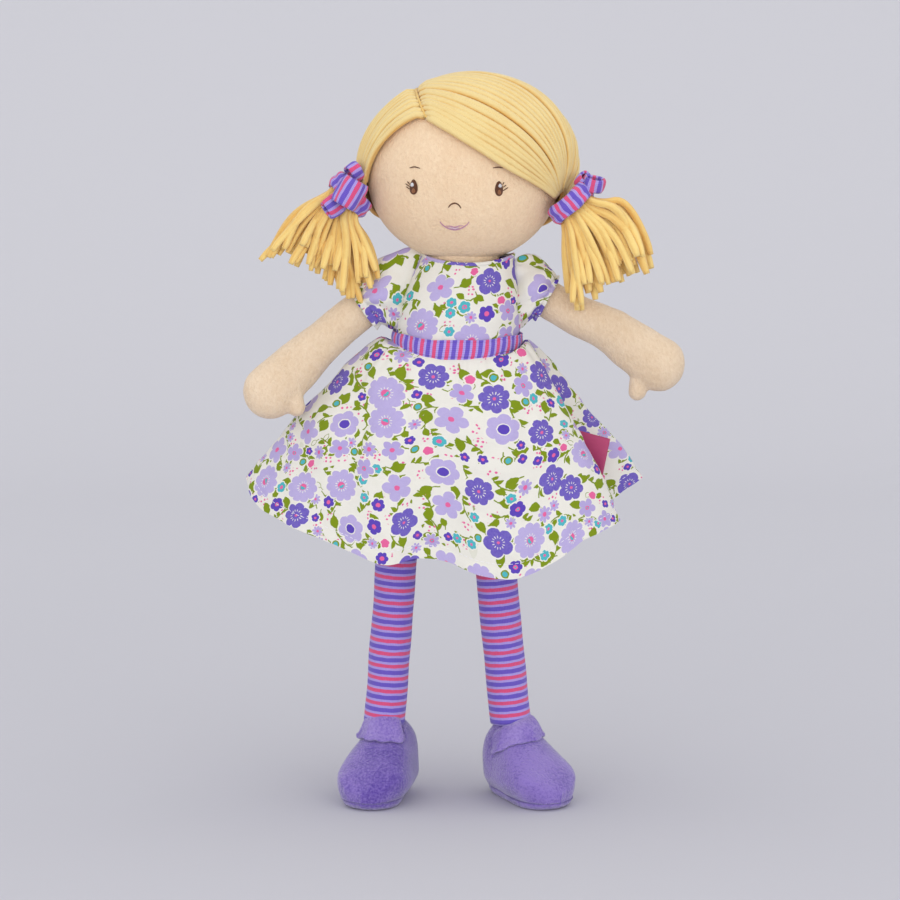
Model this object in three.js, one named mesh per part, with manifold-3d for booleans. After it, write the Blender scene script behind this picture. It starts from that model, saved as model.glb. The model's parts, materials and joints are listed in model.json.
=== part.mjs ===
// A soft rag doll about 40 cm tall, in millimetres, standing on Z = 0 and facing -Y.
// Its left side is +X. Each stuffed piece is one solid, as its filling makes it.

import * as THREE from "three";
import { mergeVertices } from "three/addons/utils/BufferGeometryUtils.js";
import Module from "manifold-3d";

const wasm = await Module();
wasm.setup();

// Running gap between pieces, thickness of the cloths, and overrun of the cuts
const seam = 0.3;
const cotton = 1.2;
const ribbon = 1.2;
const overrun = 2;
const weld = 0.0005;

// Head, measured without its hair
const headHalfWidth = 53;
const headHalfDepth = 41;
const headHalfHeight = 48.5;
const headCentre = new THREE.Vector3(0.3, 1, 346);

// Neck plug, which turns in the head and nods in the top of the body
const neckRadius = 10;
const neckBall = new THREE.Vector3(0, 1, 287.5);
const neckDepthInHead = 20;
const neckNodDegrees = 20;

// Body: height, half-width, half-depth and sideways lean of its sections
const bodyBottom = { z: 211.6, wide: 20, deep: 13, lean: -10.4 };
const bodySeat = { z: 214.5, wide: 28, deep: 20, lean: -10 };
const bodyHip = { z: 224, wide: 33, deep: 25, lean: -8.8 };
const bodyWaist = { z: 251, wide: 32.2, deep: 24, lean: -4 };
const bodyChest = { z: 268, wide: 32.6, deep: 24, lean: -2.2 };
const bodyShoulder = { z: 281, wide: 30.7, deep: 21.5, lean: -1 };
const bodyYoke = { z: 289, wide: 26.5, deep: 16.5, lean: -0.6 };
const bodyTop = { z: 292.6, wide: 19, deep: 14.5, lean: -0.3 };
const bodySections = [
  bodyBottom, bodySeat, bodyHip, bodyWaist, bodyChest, bodyShoulder, bodyYoke, bodyTop,
];

// Arms: pivots, then reach and drop of the mitten hand from its pivot
const shoulderHalfSpan = 41;
const shoulderHeight = 281;
const armReach = { right: 63.2, left: 67 };
const armDrop = { right: 53.2, left: 39 };
const handForward = { right: 12, left: 2 };
const shoulderBall = 10;
const armRadius = 10.4;
const armHalfDepth = 9.6;
const handRadius = 14.6;
const handHalfDepth = 10;
const thumbRadius = 4.7;

// Points along the arm as shares of its reach and drop, and along the thumb as shares of the
// hand's radius, inwards and upwards from the middle of the hand
const armShares = {
  right: [[0, 0], [0.32, 0.27], [0.6, 0.55], [0.8, 0.775], [1, 1]],
  left: [[0, 0], [0.33, 0.31], [0.6, 0.52], [0.8, 0.76], [1, 1]],
};
const thumbShares = {
  right: [[0.75, 0.49], [0.99, -0.6]],
  left: [[0.68, -0.07], [0.77, -1.04]],
};

// Legs: hip pivots and middles of the ankles, each pair a little to the doll's right
const hipHalfSpan = 21.5;
const hipLean = -10.5;
const ankleHalfSpan = 35.2;
const ankleLean = -8.4;
const ankleHeight = 42;
const hipBall = 11.3;
const hipHeight = bodyBottom.z - seam - hipBall;
const thighRadius = 11.4;
const calfRadius = 11.3;
const ankleRadius = 11.5;

// Shoes: a stuffed upper, drawn in to a flat oval sole, with a flap folded over the instep
const shoeLength = 60;
const shoeHalfWidth = 20.6;
const shoeHeight = 45;
const shoeCollarRadius = 15;
const shoeToeHeight = 24;
const soleThickness = 4.6;
const soleRollShare = 0.86;
const soleBendShare = 0.92;
const soleTopShare = 0.95;
const shoeBellyHeight = 12.5;
const shoeBellyShare = 0.8;
const shoeTuckDegrees = 31;
const heelBehindAnkle = { right: 18.5, left: 15 };
const flapThickness = 2.2;
const flapSeat = 0.5;
const flapFromShare = 0.34;
const flapToShare = 0.6;
const instepShare = 0.8;
const flapSideSteps = 6;
const toeTurn = { right: -0.36, left: 0.64 };

// Dress: bodice, waist ribbon, sleeves and skirt
const bodiceTop = 299.4;
const bodiceBottom = 245;
const armholeRadius = 9.8;
const waistbandHeight = 10.8;
const waistbandBottom = 248.4;
const waistSag = 2.5;
const sleeveReach = 18;
const sleeveCentre = 283;
const sleeveHalfHeight = 18.4;
const sleeveHalfDepth = 16.6;
const sleeveMouthRadius = 12.3;
const sleeveGathers = 8;
const sleeveGatherDepth = 0.03;

// Sleeve rings: share of the reach, share of the puff's size, and how far they face the arm
const sleeveShares = [[0, 0.75, 0], [0.2, 1, 0.1], [0.5, 0.95, 0.4], [0.75, 0.5, 0.75],
  [0.88, 0.1, 0.95], [1, 0.35, 1]];
const skirtReach = 121;
const skirtHalfDepth = 60;
const skirtDrop = 112;
const labelLength = 23;
const labelWidth = 20.5;
const labelThickness = 0.9;
const labelFromShare = 0.44;
const labelToShare = 0.62;
const labelAim = [0.9, 0.36, -0.24];

// Hair: flat rows of jersey strips from the parting to the two bunches
const hairThickness = 5.6;
const hairRowDepth = 1.5;
const hairRows = 13;
const hairPartingGap = 0.45;
const hairSeat = 0.6;
const frontBowShares = { right: 0.5, left: 0.6 };
const frontBowLeads = { right: 0.5, left: 1 };
const bunchRadius = 9.5;
const bunchLift = { right: 0.5, left: 9 };

// Bunches: loose strips that start in a jersey band tied round them
const bandHeight = 11;
const bandHalfWidth = 13.6;
const bandHalfDepth = 10.4;
const bandThickness = 2.6;
const rootRadius = bandHalfDepth - bandThickness - seam;
const stripRadius = 2.9;
const stripCount = 15;
const bunchLength = { right: 56, left: 55 };
const bunchAims = { right: [-0.75, -0.08, -0.66], left: [0.66, -0.14, -0.74] };
const bunchFanDegrees = { right: [-72, 30], left: [-92, 34] };
const bunchFallShares = { right: 1, left: 2.6 };
const bunchOpenShare = 0.3;
const bunchRootShare = 0.9;
const bunchRaggedShare = 0.12;
const bunchRaggedTurn = 2.4;

// Places of the bunches from the middle of the head, as shares of its half-sizes
const bunchPlaceShares = { right: [-1.162, -0.268, -0.237], left: [1.089, -0.463, -0.33] };

// How far layers of strips lie apart at the root and at the ends, as shares of a strip's radius
const stripLayerShares = [0.5, 2];
const stripSteps = 7;

// Rings of a tie's band along its height, how much slimmer its edges are, and its mouth's flare
const bandRingShares = [-1, -0.4, 0.4, 1];
const bandSlimShare = 0.3;
const bandMouthFlare = 1.2;

// Loops of the bows: place from the root, half-sizes and height, as shares of the band's half-width
const loopWall = 1.5;
const bowLoopShares = {
  right: [
    { at: [0, -1.03, 0.18], wide: 0.62, deep: 0.4, tall: 1.1, aim: [0.3, 0, 1] },
    { at: [0.18, -0.44, 0.92], wide: 0.34, deep: 0.41, tall: 0.44, aim: [0.8, 0.3, 0.5] },
    { at: [-0.625, -0.77, -0.4], wide: 0.37, deep: 0.19, tall: 0.735, aim: [-0.9, -0.5, -0.6] },
  ],
  left: [
    { at: [0.88, -0.07, 0.77], wide: 0.4, deep: 0.32, tall: 0.51, aim: [0.2, -0.3, 1] },
    { at: [0.48, 0.15, 0.92], wide: 0.265, deep: 0.29, tall: 0.44, aim: [0.5, -0.6, 0.6] },
  ],
};

// Turns a list of points and a list of faces into one closed geometry, faces out
function closedGeometry(points, faces) {
  let volume = 0;
  for (const [a, b, c] of faces) {
    volume += points[a].dot(points[b].clone().cross(points[c]));
  }
  const outward = volume > 0 ? faces : faces.map(([a, b, c]) => [a, c, b]);
  const geometry = new THREE.BufferGeometry();
  const numbers = points.flatMap((point) => point.toArray());
  geometry.setAttribute("position", new THREE.Float32BufferAttribute(numbers, 3));
  geometry.setIndex(outward.flat());
  return geometry;
}

// Faces between rows of points. Each row goes once round, and the rows may close on each other.
function facesBetween(rows, closesOnItself) {
  const sides = rows[0].length;
  const spans = closesOnItself ? rows.length : rows.length - 1;
  const faces = [];
  for (let row = 0; row < spans; row += 1) {
    const near = row * sides;
    const far = ((row + 1) % rows.length) * sides;
    for (let side = 0; side < sides; side += 1) {
      const next = (side + 1) % sides;
      faces.push([near + side, near + next, far + next]);
      faces.push([near + side, far + next, far + side]);
    }
  }
  return faces;
}

// A filled body through rows of points, closed at each end by a point
function loft(rows, firstPoint, lastPoint) {
  const sides = rows[0].length;
  const points = [...rows.flat(), firstPoint, lastPoint];
  const faces = facesBetween(rows, false);
  const first = points.length - 2;
  const last = points.length - 1;
  const lastRow = (rows.length - 1) * sides;
  for (let side = 0; side < sides; side += 1) {
    const next = (side + 1) % sides;
    faces.push([first, next, side]);
    faces.push([last, lastRow + side, lastRow + next]);
  }
  return closedGeometry(points, faces);
}

// A thin wall all the way round: its outer rows going one way and its inner rows coming back
function tubeWall(outerRows, innerRows) {
  const rows = [...outerRows, ...innerRows.toReversed()];
  return closedGeometry(rows.flat(), facesBetween(rows, true));
}

// A thin sheet between an outer and an inner grid of points with the same counts
function sheet(outer, inner) {
  const rows = outer.map((line, i) => [...line, ...inner[i].toReversed()]);
  const faces = facesBetween(rows, false);
  const sides = rows[0].length;
  const lastRow = (rows.length - 1) * sides;
  for (let step = 0; step < outer[0].length - 1; step += 1) {
    const back = sides - 1 - step;
    faces.push([step, back, step + 1], [step + 1, back, back - 1]);
    faces.push([lastRow + step, lastRow + step + 1, lastRow + back]);
    faces.push([lastRow + step + 1, lastRow + back - 1, lastRow + back]);
  }
  return closedGeometry(rows.flat(), faces);
}

// A closed geometry as a solid that can be cut and joined
function solid(geometry) {
  const bare = geometry.clone();
  bare.deleteAttribute("normal");
  bare.deleteAttribute("uv");
  const merged = mergeVertices(bare, weld);
  return new wasm.Manifold(new wasm.Mesh({
    numProp: 3,
    vertProperties: Float32Array.from(merged.getAttribute("position").array),
    triVerts: Uint32Array.from(merged.getIndex().array),
  }));
}

function fromSolid(cut) {
  const mesh = cut.getMesh();
  const geometry = new THREE.BufferGeometry();
  geometry.setAttribute("position", new THREE.Float32BufferAttribute(mesh.vertProperties, 3));
  geometry.setIndex(new THREE.BufferAttribute(mesh.triVerts, 1));
  return geometry;
}

const doll = new THREE.Group();

// Colours and roughness of the cloths
const skinVelour = { colour: "#ebd0b0", roughness: 0.95 };
const shoeVelour = { colour: "#7a5db8", roughness: 0.9 };
const stripedKnit = { colour: "#a06ab4", roughness: 0.9 };
const printedCotton = { colour: "#e6e2ee", roughness: 0.85 };
const stripedRibbon = { colour: "#9a5fae", roughness: 0.8 };
const hairJersey = { colour: "#f8e09a", roughness: 0.9 };
const labelSatin = { colour: "#a82c60", roughness: 0.5 };

// Adds one named piece, flat-shaded, with a finish of its own
function addPiece(name, geometry, cloth) {
  const faceted = geometry.index ? geometry.toNonIndexed() : geometry;
  faceted.computeVertexNormals();
  const finish = new THREE.MeshStandardMaterial({
    color: cloth.colour, roughness: cloth.roughness, metalness: 0,
  });
  const piece = new THREE.Mesh(faceted, finish);
  piece.name = name;
  doll.add(piece);
}

const vector = (list) => new THREE.Vector3(...list);
const mix = THREE.MathUtils.lerp;
const fullTurn = 2 * Math.PI;
const signs = { right: -1, left: 1 };
const bothSides = ["right", "left"];

// A ring of points round an upright middle line
function levelRing(centre, halfWidth, halfDepth, sides) {
  const ring = [];
  for (let side = 0; side < sides; side += 1) {
    const turn = (side / sides) * fullTurn;
    const across = centre.x + halfWidth * Math.cos(turn);
    const along = centre.y + halfDepth * Math.sin(turn);
    ring.push(new THREE.Vector3(across, along, centre.z));
  }
  return ring;
}

// A ring of points square to a direction, its half-depth measured as near Y as it can be
function facingRing(centre, aim, halfWidth, halfDepth, sides, wave = () => 1) {
  const deep = new THREE.Vector3(0, 1, 0);
  deep.addScaledVector(aim, -deep.dot(aim)).normalize();
  const wide = deep.clone().cross(aim);
  const ring = [];
  for (let side = 0; side < sides; side += 1) {
    const turn = (side / sides) * fullTurn;
    const swell = wave(turn);
    const point = centre.clone();
    point.addScaledVector(wide, swell * halfWidth * Math.cos(turn));
    point.addScaledVector(deep, swell * halfDepth * Math.sin(turn));
    ring.push(point);
  }
  return ring;
}

// Value at a share of a list, with a smooth curve through its entries
function along(list, share) {
  const points = list.map((value) => new THREE.Vector2(value, 0));
  return new THREE.SplineCurve(points).getPoint(share).x;
}

// A stuffed tube along a curve, with a ball at its start and a round or flat end
function limb(route, halfWidths, halfDepths, sides, steps, roundEnd) {
  const curve = new THREE.CatmullRomCurve3(route);
  const capTurnShares = [0.34, 0.68];
  const rows = [];
  const start = curve.getPointAt(0);
  const startAim = curve.getTangentAt(0);
  const end = curve.getPointAt(1);
  const endAim = curve.getTangentAt(1);
  const [startWide, startDeep] = [halfWidths[0], halfDepths[0]];
  const [endWide, endDeep] = [halfWidths.at(-1), halfDepths.at(-1)];
  for (const share of capTurnShares) {
    const turn = (share * Math.PI) / 2;
    const centre = start.clone().addScaledVector(startAim, -startWide * Math.cos(turn));
    const [wide, deep] = [startWide * Math.sin(turn), startDeep * Math.sin(turn)];
    rows.push(facingRing(centre, startAim, wide, deep, sides));
  }
  for (let step = 0; step <= steps; step += 1) {
    const share = step / steps;
    const wide = along(halfWidths, share);
    const deep = along(halfDepths, share);
    const aim = curve.getTangentAt(share);
    rows.push(facingRing(curve.getPointAt(share), aim, wide, deep, sides));
  }
  if (roundEnd) {
    for (const share of capTurnShares.toReversed()) {
      const turn = (share * Math.PI) / 2;
      const centre = end.clone().addScaledVector(endAim, endWide * Math.cos(turn));
      const [wide, deep] = [endWide * Math.sin(turn), endDeep * Math.sin(turn)];
      rows.push(facingRing(centre, endAim, wide, deep, sides));
    }
  }
  const firstPoint = start.clone().addScaledVector(startAim, -startWide);
  const lastPoint = end.clone().addScaledVector(endAim, roundEnd ? endWide : 0);
  return loft(rows, firstPoint, lastPoint);
}

// The head: an egg of velour, as a larger copy when something has to clear it
function headShape(grow) {
  const egg = new THREE.SphereGeometry(1, 26, 16);
  egg.rotateX(Math.PI / 2);
  egg.scale(headHalfWidth + grow, headHalfDepth + grow, headHalfHeight + grow);
  egg.translate(headCentre.x, headCentre.y, headCentre.z);
  return egg;
}

// The neck: a ball in the body and a round plug in the head
const headBottom = headCentre.z - headHalfHeight;
const neckTop = headBottom + neckDepthInHead;

function neckShape(grow) {
  const radius = neckRadius + grow;
  const profile = [];
  const ballSteps = 7;
  for (let step = 0; step <= ballSteps; step += 1) {
    const turn = (step / ballSteps) * (Math.PI / 2);
    profile.push(new THREE.Vector2(radius * Math.sin(turn), neckBall.z - radius * Math.cos(turn)));
  }
  profile.push(new THREE.Vector2(radius, neckTop + grow - radius / 2));
  profile.push(new THREE.Vector2(radius / 2, neckTop + grow));
  profile.push(new THREE.Vector2(0, neckTop + grow));
  const plug = new THREE.LatheGeometry(profile, 24);
  plug.rotateX(Math.PI / 2);
  plug.translate(neckBall.x, neckBall.y, 0);
  return plug;
}

addPiece("head", fromSolid(solid(headShape(0)).subtract(solid(neckShape(seam)))), skinVelour);
addPiece("neck", neckShape(0), skinVelour);

// The body's half-width, half-depth and lean at any height, through its sections
function bodyAt(z) {
  let upper = bodySections.findIndex((section) => section.z >= z);
  upper = Math.max(upper === -1 ? bodySections.length - 1 : upper, 1);
  const low = bodySections[upper - 1];
  const high = bodySections[upper];
  const share = (z - low.z) / (high.z - low.z);
  return {
    wide: mix(low.wide, high.wide, share),
    deep: mix(low.deep, high.deep, share),
    lean: mix(low.lean, high.lean, share),
  };
}

function bodyRing(z, grow, sides) {
  const { wide, deep, lean } = bodyAt(z);
  return levelRing(new THREE.Vector3(lean, 0, z), wide + grow, deep + grow, sides);
}

function bodyShape(sides) {
  const rows = bodySections.map((section) => bodyRing(section.z, 0, sides));
  const bottom = new THREE.Vector3(bodyBottom.lean, 0, bodyBottom.z);
  const top = new THREE.Vector3(bodyTop.lean, 0, bodyTop.z);
  return loft(rows, bottom, top);
}

// The mouth of the neck's socket, wide enough for the neck to nod
function neckMouth() {
  const nod = THREE.MathUtils.degToRad(neckNodDegrees);
  const reach = (height) => (neckRadius + seam) / Math.cos(nod) + height * Math.tan(nod);
  const low = -neckRadius * Math.sin(nod);
  const high = bodyTop.z - neckBall.z + overrun;
  const mouth = new THREE.CylinderGeometry(reach(high), reach(low), high - low, 24);
  mouth.rotateX(Math.PI / 2);
  mouth.translate(neckBall.x, neckBall.y, neckBall.z + (low + high) / 2);
  return mouth;
}

const bodySides = 26;
const body = solid(bodyShape(bodySides)).subtract(solid(neckShape(seam))).subtract(solid(neckMouth()));
addPiece("torso", fromSolid(body), skinVelour);

// Points along the middle of an arm and of its thumb
function armRoute(side) {
  const points = armShares[side].map(([out, down]) => new THREE.Vector3(
    bodyShoulder.lean + signs[side] * (shoulderHalfSpan + out * armReach[side]),
    -handForward[side] * out ** 3,
    shoulderHeight - down * armDrop[side],
  ));
  return points;
}

function thumbRoute(side) {
  const hand = armRoute(side).at(-1);
  return thumbShares[side].map(([inward, up]) => new THREE.Vector3(
    hand.x - signs[side] * inward * handRadius,
    hand.y,
    hand.z + up * handRadius,
  ));
}

// Arms with mitten hands
for (const side of bothSides) {
  const halfWidths = [shoulderBall, armRadius, armRadius, mix(armRadius, handRadius, 0.6), handRadius];
  const halfDepths = [shoulderBall, armHalfDepth, armHalfDepth, armHalfDepth, handHalfDepth];
  const arm = limb(armRoute(side), halfWidths, halfDepths, 16, 9, true);
  const thumbRadii = [thumbRadius, thumbRadius];
  const thumb = limb(thumbRoute(side), thumbRadii, thumbRadii, 8, 2, true);
  addPiece(`arm_${side}`, fromSolid(solid(arm).add(solid(thumb))), skinVelour);
}

// Middle of a hip and of an ankle
const hipPoint = (side) => new THREE.Vector3(hipLean + signs[side] * hipHalfSpan, 0, hipHeight);

function anklePoint(side) {
  return new THREE.Vector3(ankleLean + signs[side] * ankleHalfSpan, 0, ankleHeight);
}

// Legs, round at the hip and flat at the ankle, as a larger copy to cut with
function legShape(side, grow) {
  const start = hipPoint(side);
  const end = anklePoint(side);
  end.addScaledVector(end.clone().sub(start).normalize(), grow);
  const middle = start.clone().lerp(end, 0.5);
  const radii = [hipBall, thighRadius, calfRadius, ankleRadius].map((radius) => radius + grow);
  return limb([start, middle, end], radii, radii, 18, 6, false);
}

for (const side of bothSides) {
  addPiece(`leg_${side}`, legShape(side, 0), stripedKnit);
}

// Plan of the sole, heel at the origin and toe along -Y: half-width at a share of the length
const soleWidthShares = [[0, 0], [0.03, 0.36], [0.1, 0.6], [0.2, 0.76], [0.34, 0.86], [0.46, 0.94],
  [0.6, 1], [0.74, 0.98], [0.86, 0.82], [0.95, 0.52], [1, 0]];

// Side view of the upper: height of its ridge at a share of the length
const ridgeShares = [[0, 0.3], [0.03, 0.62], [0.1, 0.9], [0.2, 1], [0.34, 1], [0.46, 0.83],
  [0.6, 0.66], [0.74, 0.54], [0.86, 0.43], [0.95, 0.31], [1, 0.2]];

function shareAt(table, share) {
  const upper = Math.max(table.findIndex(([at]) => at >= share), 1);
  const [lowAt, lowValue] = table[upper - 1];
  const [highAt, highValue] = table[upper];
  return mix(lowValue, highValue, (share - lowAt) / (highAt - lowAt));
}

// Sets a piece that is modelled from the heel onto its foot
function onFoot(geometry, side) {
  const ankle = anklePoint(side);
  geometry.translate(0, heelBehindAnkle[side], 0);
  geometry.rotateZ(toeTurn[side]);
  geometry.translate(ankle.x, ankle.y, 0);
  return geometry;
}

// How far the upper's sides turn in under its widest line
const shoeTuck = THREE.MathUtils.degToRad(shoeTuckDegrees);

// The sole: a flat oval of velour whose lower edge is rolled in
function soleRing(sizeShare, z) {
  const insideShares = soleWidthShares.slice(1, -1);
  const edge = insideShares.map(([at, wide]) => new THREE.Vector3(
    wide * shoeHalfWidth * Math.cos(shoeTuck) * sizeShare,
    -mix(0.5, at, sizeShare) * shoeLength,
    z,
  ));
  const mirrored = edge.map((point) => point.clone().setX(-point.x)).toReversed();
  const toe = new THREE.Vector3(0, -mix(0.5, 1, sizeShare) * shoeLength, z);
  const heel = new THREE.Vector3(0, -mix(0.5, 0, sizeShare) * shoeLength, z);
  return [...edge, toe, ...mirrored, heel];
}

function soleShape(side) {
  const rows = [
    soleRing(soleRollShare, 0),
    soleRing(soleBendShare, soleThickness / 4),
    soleRing(soleTopShare, soleThickness),
  ];
  const middle = new THREE.Vector3(0, -shoeLength / 2, 0);
  return onFoot(loft(rows, middle, middle.clone().setZ(soleThickness)), side);
}

// A point of the upper, turned in below its widest line and round above it, at a share of its length
function upperPoint(share, turn, grow) {
  const wide = shareAt(soleWidthShares, share) * shoeHalfWidth;
  const ridge = shareAt(ridgeShares, share) * shoeHeight;
  const belly = Math.min(shoeBellyHeight, ridge * shoeBellyShare);
  const rise = Math.sin(turn);
  const tall = Math.max((ridge - shoeToeHeight) / (shoeHeight - shoeToeHeight), 0);
  const lift = Math.max(rise, 0) ** instepShare;
  const narrow = mix(1, mix(1, shoeCollarRadius / wide, tall), lift);
  const tucked = Math.min(rise, 0) / Math.sin(shoeTuck);
  const base = soleThickness + seam;
  return new THREE.Vector3(
    (wide * narrow + grow) * Math.cos(turn),
    -share * shoeLength,
    belly + (ridge + grow - belly) * lift + (belly - base) * tucked,
  );
}

const upperSides = 19;
const upperTurn = (step) => mix(-shoeTuck, Math.PI + shoeTuck, step / (upperSides - 1));

function upperShape(side) {
  const shares = ridgeShares.map(([at]) => at).slice(1, -1);
  const steps = Array.from({ length: upperSides }, (_, step) => step);
  const rows = shares.map((share) => steps.map((step) => upperPoint(share, upperTurn(step), 0)));
  const heel = new THREE.Vector3(0, 0, shoeHeight * ridgeShares[0][1]);
  const toe = new THREE.Vector3(0, -shoeLength, shoeHeight * ridgeShares.at(-1)[1]);
  return onFoot(loft(rows, heel, toe), side);
}

// The flap: a strip of velour folded forward over the instep, on the same lines as the upper
function flapShape(side) {
  const shares = ridgeShares.map(([at]) => at).filter((at) => at >= flapFromShare && at <= flapToShare);
  const outer = [];
  const inner = [];
  for (let step = flapSideSteps; step < upperSides - flapSideSteps; step += 1) {
    const turn = upperTurn(step);
    outer.push(shares.map((share) => upperPoint(share, turn, flapSeat + flapThickness)));
    inner.push(shares.map((share) => upperPoint(share, turn, flapSeat)));
  }
  return onFoot(sheet(outer, inner), side);
}

for (const side of bothSides) {
  addPiece(`sole_${side}`, soleShape(side), shoeVelour);
  const upper = solid(upperShape(side)).subtract(solid(legShape(side, seam)));
  addPiece(`shoe_${side}`, fromSolid(upper), shoeVelour);
  const flap = solid(flapShape(side)).subtract(solid(legShape(side, seam)));
  addPiece(`shoe_flap_${side}`, fromSolid(flap), shoeVelour);
}

// The bodice: a sleeveless shell of cotton over the body, with an armhole at each side
function bodiceRows(grow, sides) {
  const above = bodySections.filter((section) => section.z > bodiceBottom);
  const heights = [bodiceBottom, ...above.map((section) => section.z)];
  return heights.map((z, step) => {
    const ring = bodyRing(z, seam + grow, sides);
    const lift = (bodiceTop - bodyTop.z) * (step / (heights.length - 1)) ** 2;
    return ring.map((point) => point.clone().setZ(z + lift));
  });
}

function armholeCutter() {
  const length = 4 * headHalfWidth;
  const cutter = new THREE.CylinderGeometry(armholeRadius, armholeRadius, length, 20);
  cutter.rotateZ(Math.PI / 2);
  cutter.translate(0, 0, shoulderHeight);
  return cutter;
}

const bodice = solid(tubeWall(bodiceRows(cotton, bodySides), bodiceRows(0, bodySides)));
const bodiceCut = bodice.subtract(solid(armholeCutter())).subtract(solid(neckShape(seam)));
addPiece("dress_bodice", fromSolid(bodiceCut), printedCotton);

// A point round the waist, lower at the front than at the back
function waistPoint(turn, height, grow) {
  const towardsFront = 0.5 - Math.sin(turn) / 2;
  const z = waistbandBottom + height - waistSag * towardsFront;
  const { wide, deep, lean } = bodyAt(z);
  return new THREE.Vector3(
    lean + (wide + grow) * Math.cos(turn),
    (deep + grow) * Math.sin(turn),
    z,
  );
}

function waistRing(height, grow) {
  const turns = Array.from({ length: bodySides }, (_, side) => (side / bodySides) * fullTurn);
  return turns.map((turn) => waistPoint(turn, height, seam + cotton + seam + grow));
}

const waistRowShares = [0, 0.4, 0.7, 1];
const waistbandOuter = waistRowShares.map((share) => waistRing(share * waistbandHeight, ribbon));
const waistbandInner = waistRowShares.map((share) => waistRing(share * waistbandHeight, 0));
addPiece("waistband", tubeWall(waistbandOuter, waistbandInner), stripedRibbon);

// The skirt's hem, going round from the right-hand seam of a person who faces the doll:
// shares of its reach, its half-depth and its drop below the waist
const hemShares = [
  [0.65, 0.12, 0.77], [0.83, 0.43, 0.65], [0.68, 0.75, 0.78], [0.43, 0.9, 0.9], [0.21, 1, 0.97],
  [-0.02, 0.92, 0.93], [-0.27, 1.02, 0.98], [-0.52, 0.9, 0.9], [-0.77, 0.72, 0.8],
  [-0.93, 0.42, 0.68], [-0.99, 0.06, 0.62], [-0.92, -0.3, 0.74], [-0.775, -0.58, 0.81],
  [-0.59, -0.77, 0.88], [-0.345, -0.96, 0.97], [-0.2, -0.87, 0.945], [-0.08, -0.88, 0.96],
  [0.075, -0.975, 1.02], [0.225, -0.99, 1.035], [0.375, -0.9, 0.98], [0.53, -0.78, 0.9],
  [0.7, -0.42, 0.83],
];
const leftSeamPoint = 10;
const bellShare = 0.6;

function hemCurve() {
  const points = hemShares.map(([across, deep, drop]) => new THREE.Vector3(
    across * skirtReach,
    deep * skirtHalfDepth,
    waistbandBottom - drop * skirtDrop,
  ));
  return new THREE.CatmullRomCurve3(points, true);
}

// The middle of the cloth at a share of the way round and a share of the way down
function skirtPoint(hem, round, down) {
  const seamRound = leftSeamPoint / hemShares.length;
  const turn = round < seamRound
    ? (round / seamRound) * Math.PI
    : Math.PI * (1 + (round - seamRound) / (1 - seamRound));
  const top = waistPoint(turn, -seam, seam + cotton + seam + cotton / 2);
  const edge = hem.getPoint(round % 1);
  const outward = down ** bellShare;
  return new THREE.Vector3(
    mix(top.x, edge.x, outward),
    mix(top.y, edge.y, outward),
    mix(top.z, edge.z, down),
  );
}

function skirtPanel(fromRound, toRound, columns, rows) {
  const hem = hemCurve();
  const nudgeShare = 0.001;
  const outer = [];
  const inner = [];
  for (let column = 0; column <= columns; column += 1) {
    const round = mix(fromRound, toRound, column / columns);
    const outerLine = [];
    const innerLine = [];
    for (let row = 0; row <= rows; row += 1) {
      const down = (row / rows) ** (1 / bellShare);
      const point = skirtPoint(hem, round, down);
      const rightward = skirtPoint(hem, Math.min(round + nudgeShare, toRound), down)
        .sub(skirtPoint(hem, Math.max(round - nudgeShare, fromRound), down));
      const downward = skirtPoint(hem, round, Math.min(down + nudgeShare, 1))
        .sub(skirtPoint(hem, round, Math.max(down - nudgeShare, 0)));
      const normal = downward.cross(rightward).normalize();
      if (row === 0) {
        normal.setZ(0).normalize();
      }
      outerLine.push(point.clone().addScaledVector(normal, cotton / 2));
      innerLine.push(point.clone().addScaledVector(normal, -cotton / 2));
    }
    outer.push(outerLine);
    inner.push(innerLine);
  }
  return sheet(outer, inner);
}

const seamShare = seam / (4 * skirtReach);
const leftSeam = leftSeamPoint / hemShares.length;
const backPanel = skirtPanel(seamShare, leftSeam - seamShare, 30, 6);
const frontPanel = skirtPanel(leftSeam + seamShare, 1 - seamShare, 36, 6);
addPiece("skirt_back", backPanel, printedCotton);
addPiece("skirt_front", frontPanel, printedCotton);

// The label: a folded ribbon in the right-hand seam of the skirt, left bare
function labelShape() {
  const hem = hemCurve();
  const round = 1 - seamShare;
  const top = skirtPoint(hem, round, labelFromShare);
  const down = skirtPoint(hem, round, labelToShare).sub(top).normalize();
  const out = vector(labelAim).normalize();
  const across = down.clone().cross(out).normalize();
  const corner = (reach, length, side) => top.clone()
    .addScaledVector(out, cotton + 2 * seam + reach)
    .addScaledVector(down, length)
    .addScaledVector(across, side * labelThickness);
  const face = (side) => [0, labelWidth].map((reach) => (
    [0, labelLength].map((length) => corner(reach, length, side))
  ));
  return sheet(face(1), face(0));
}

addPiece("side_label", labelShape(), labelSatin);

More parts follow.
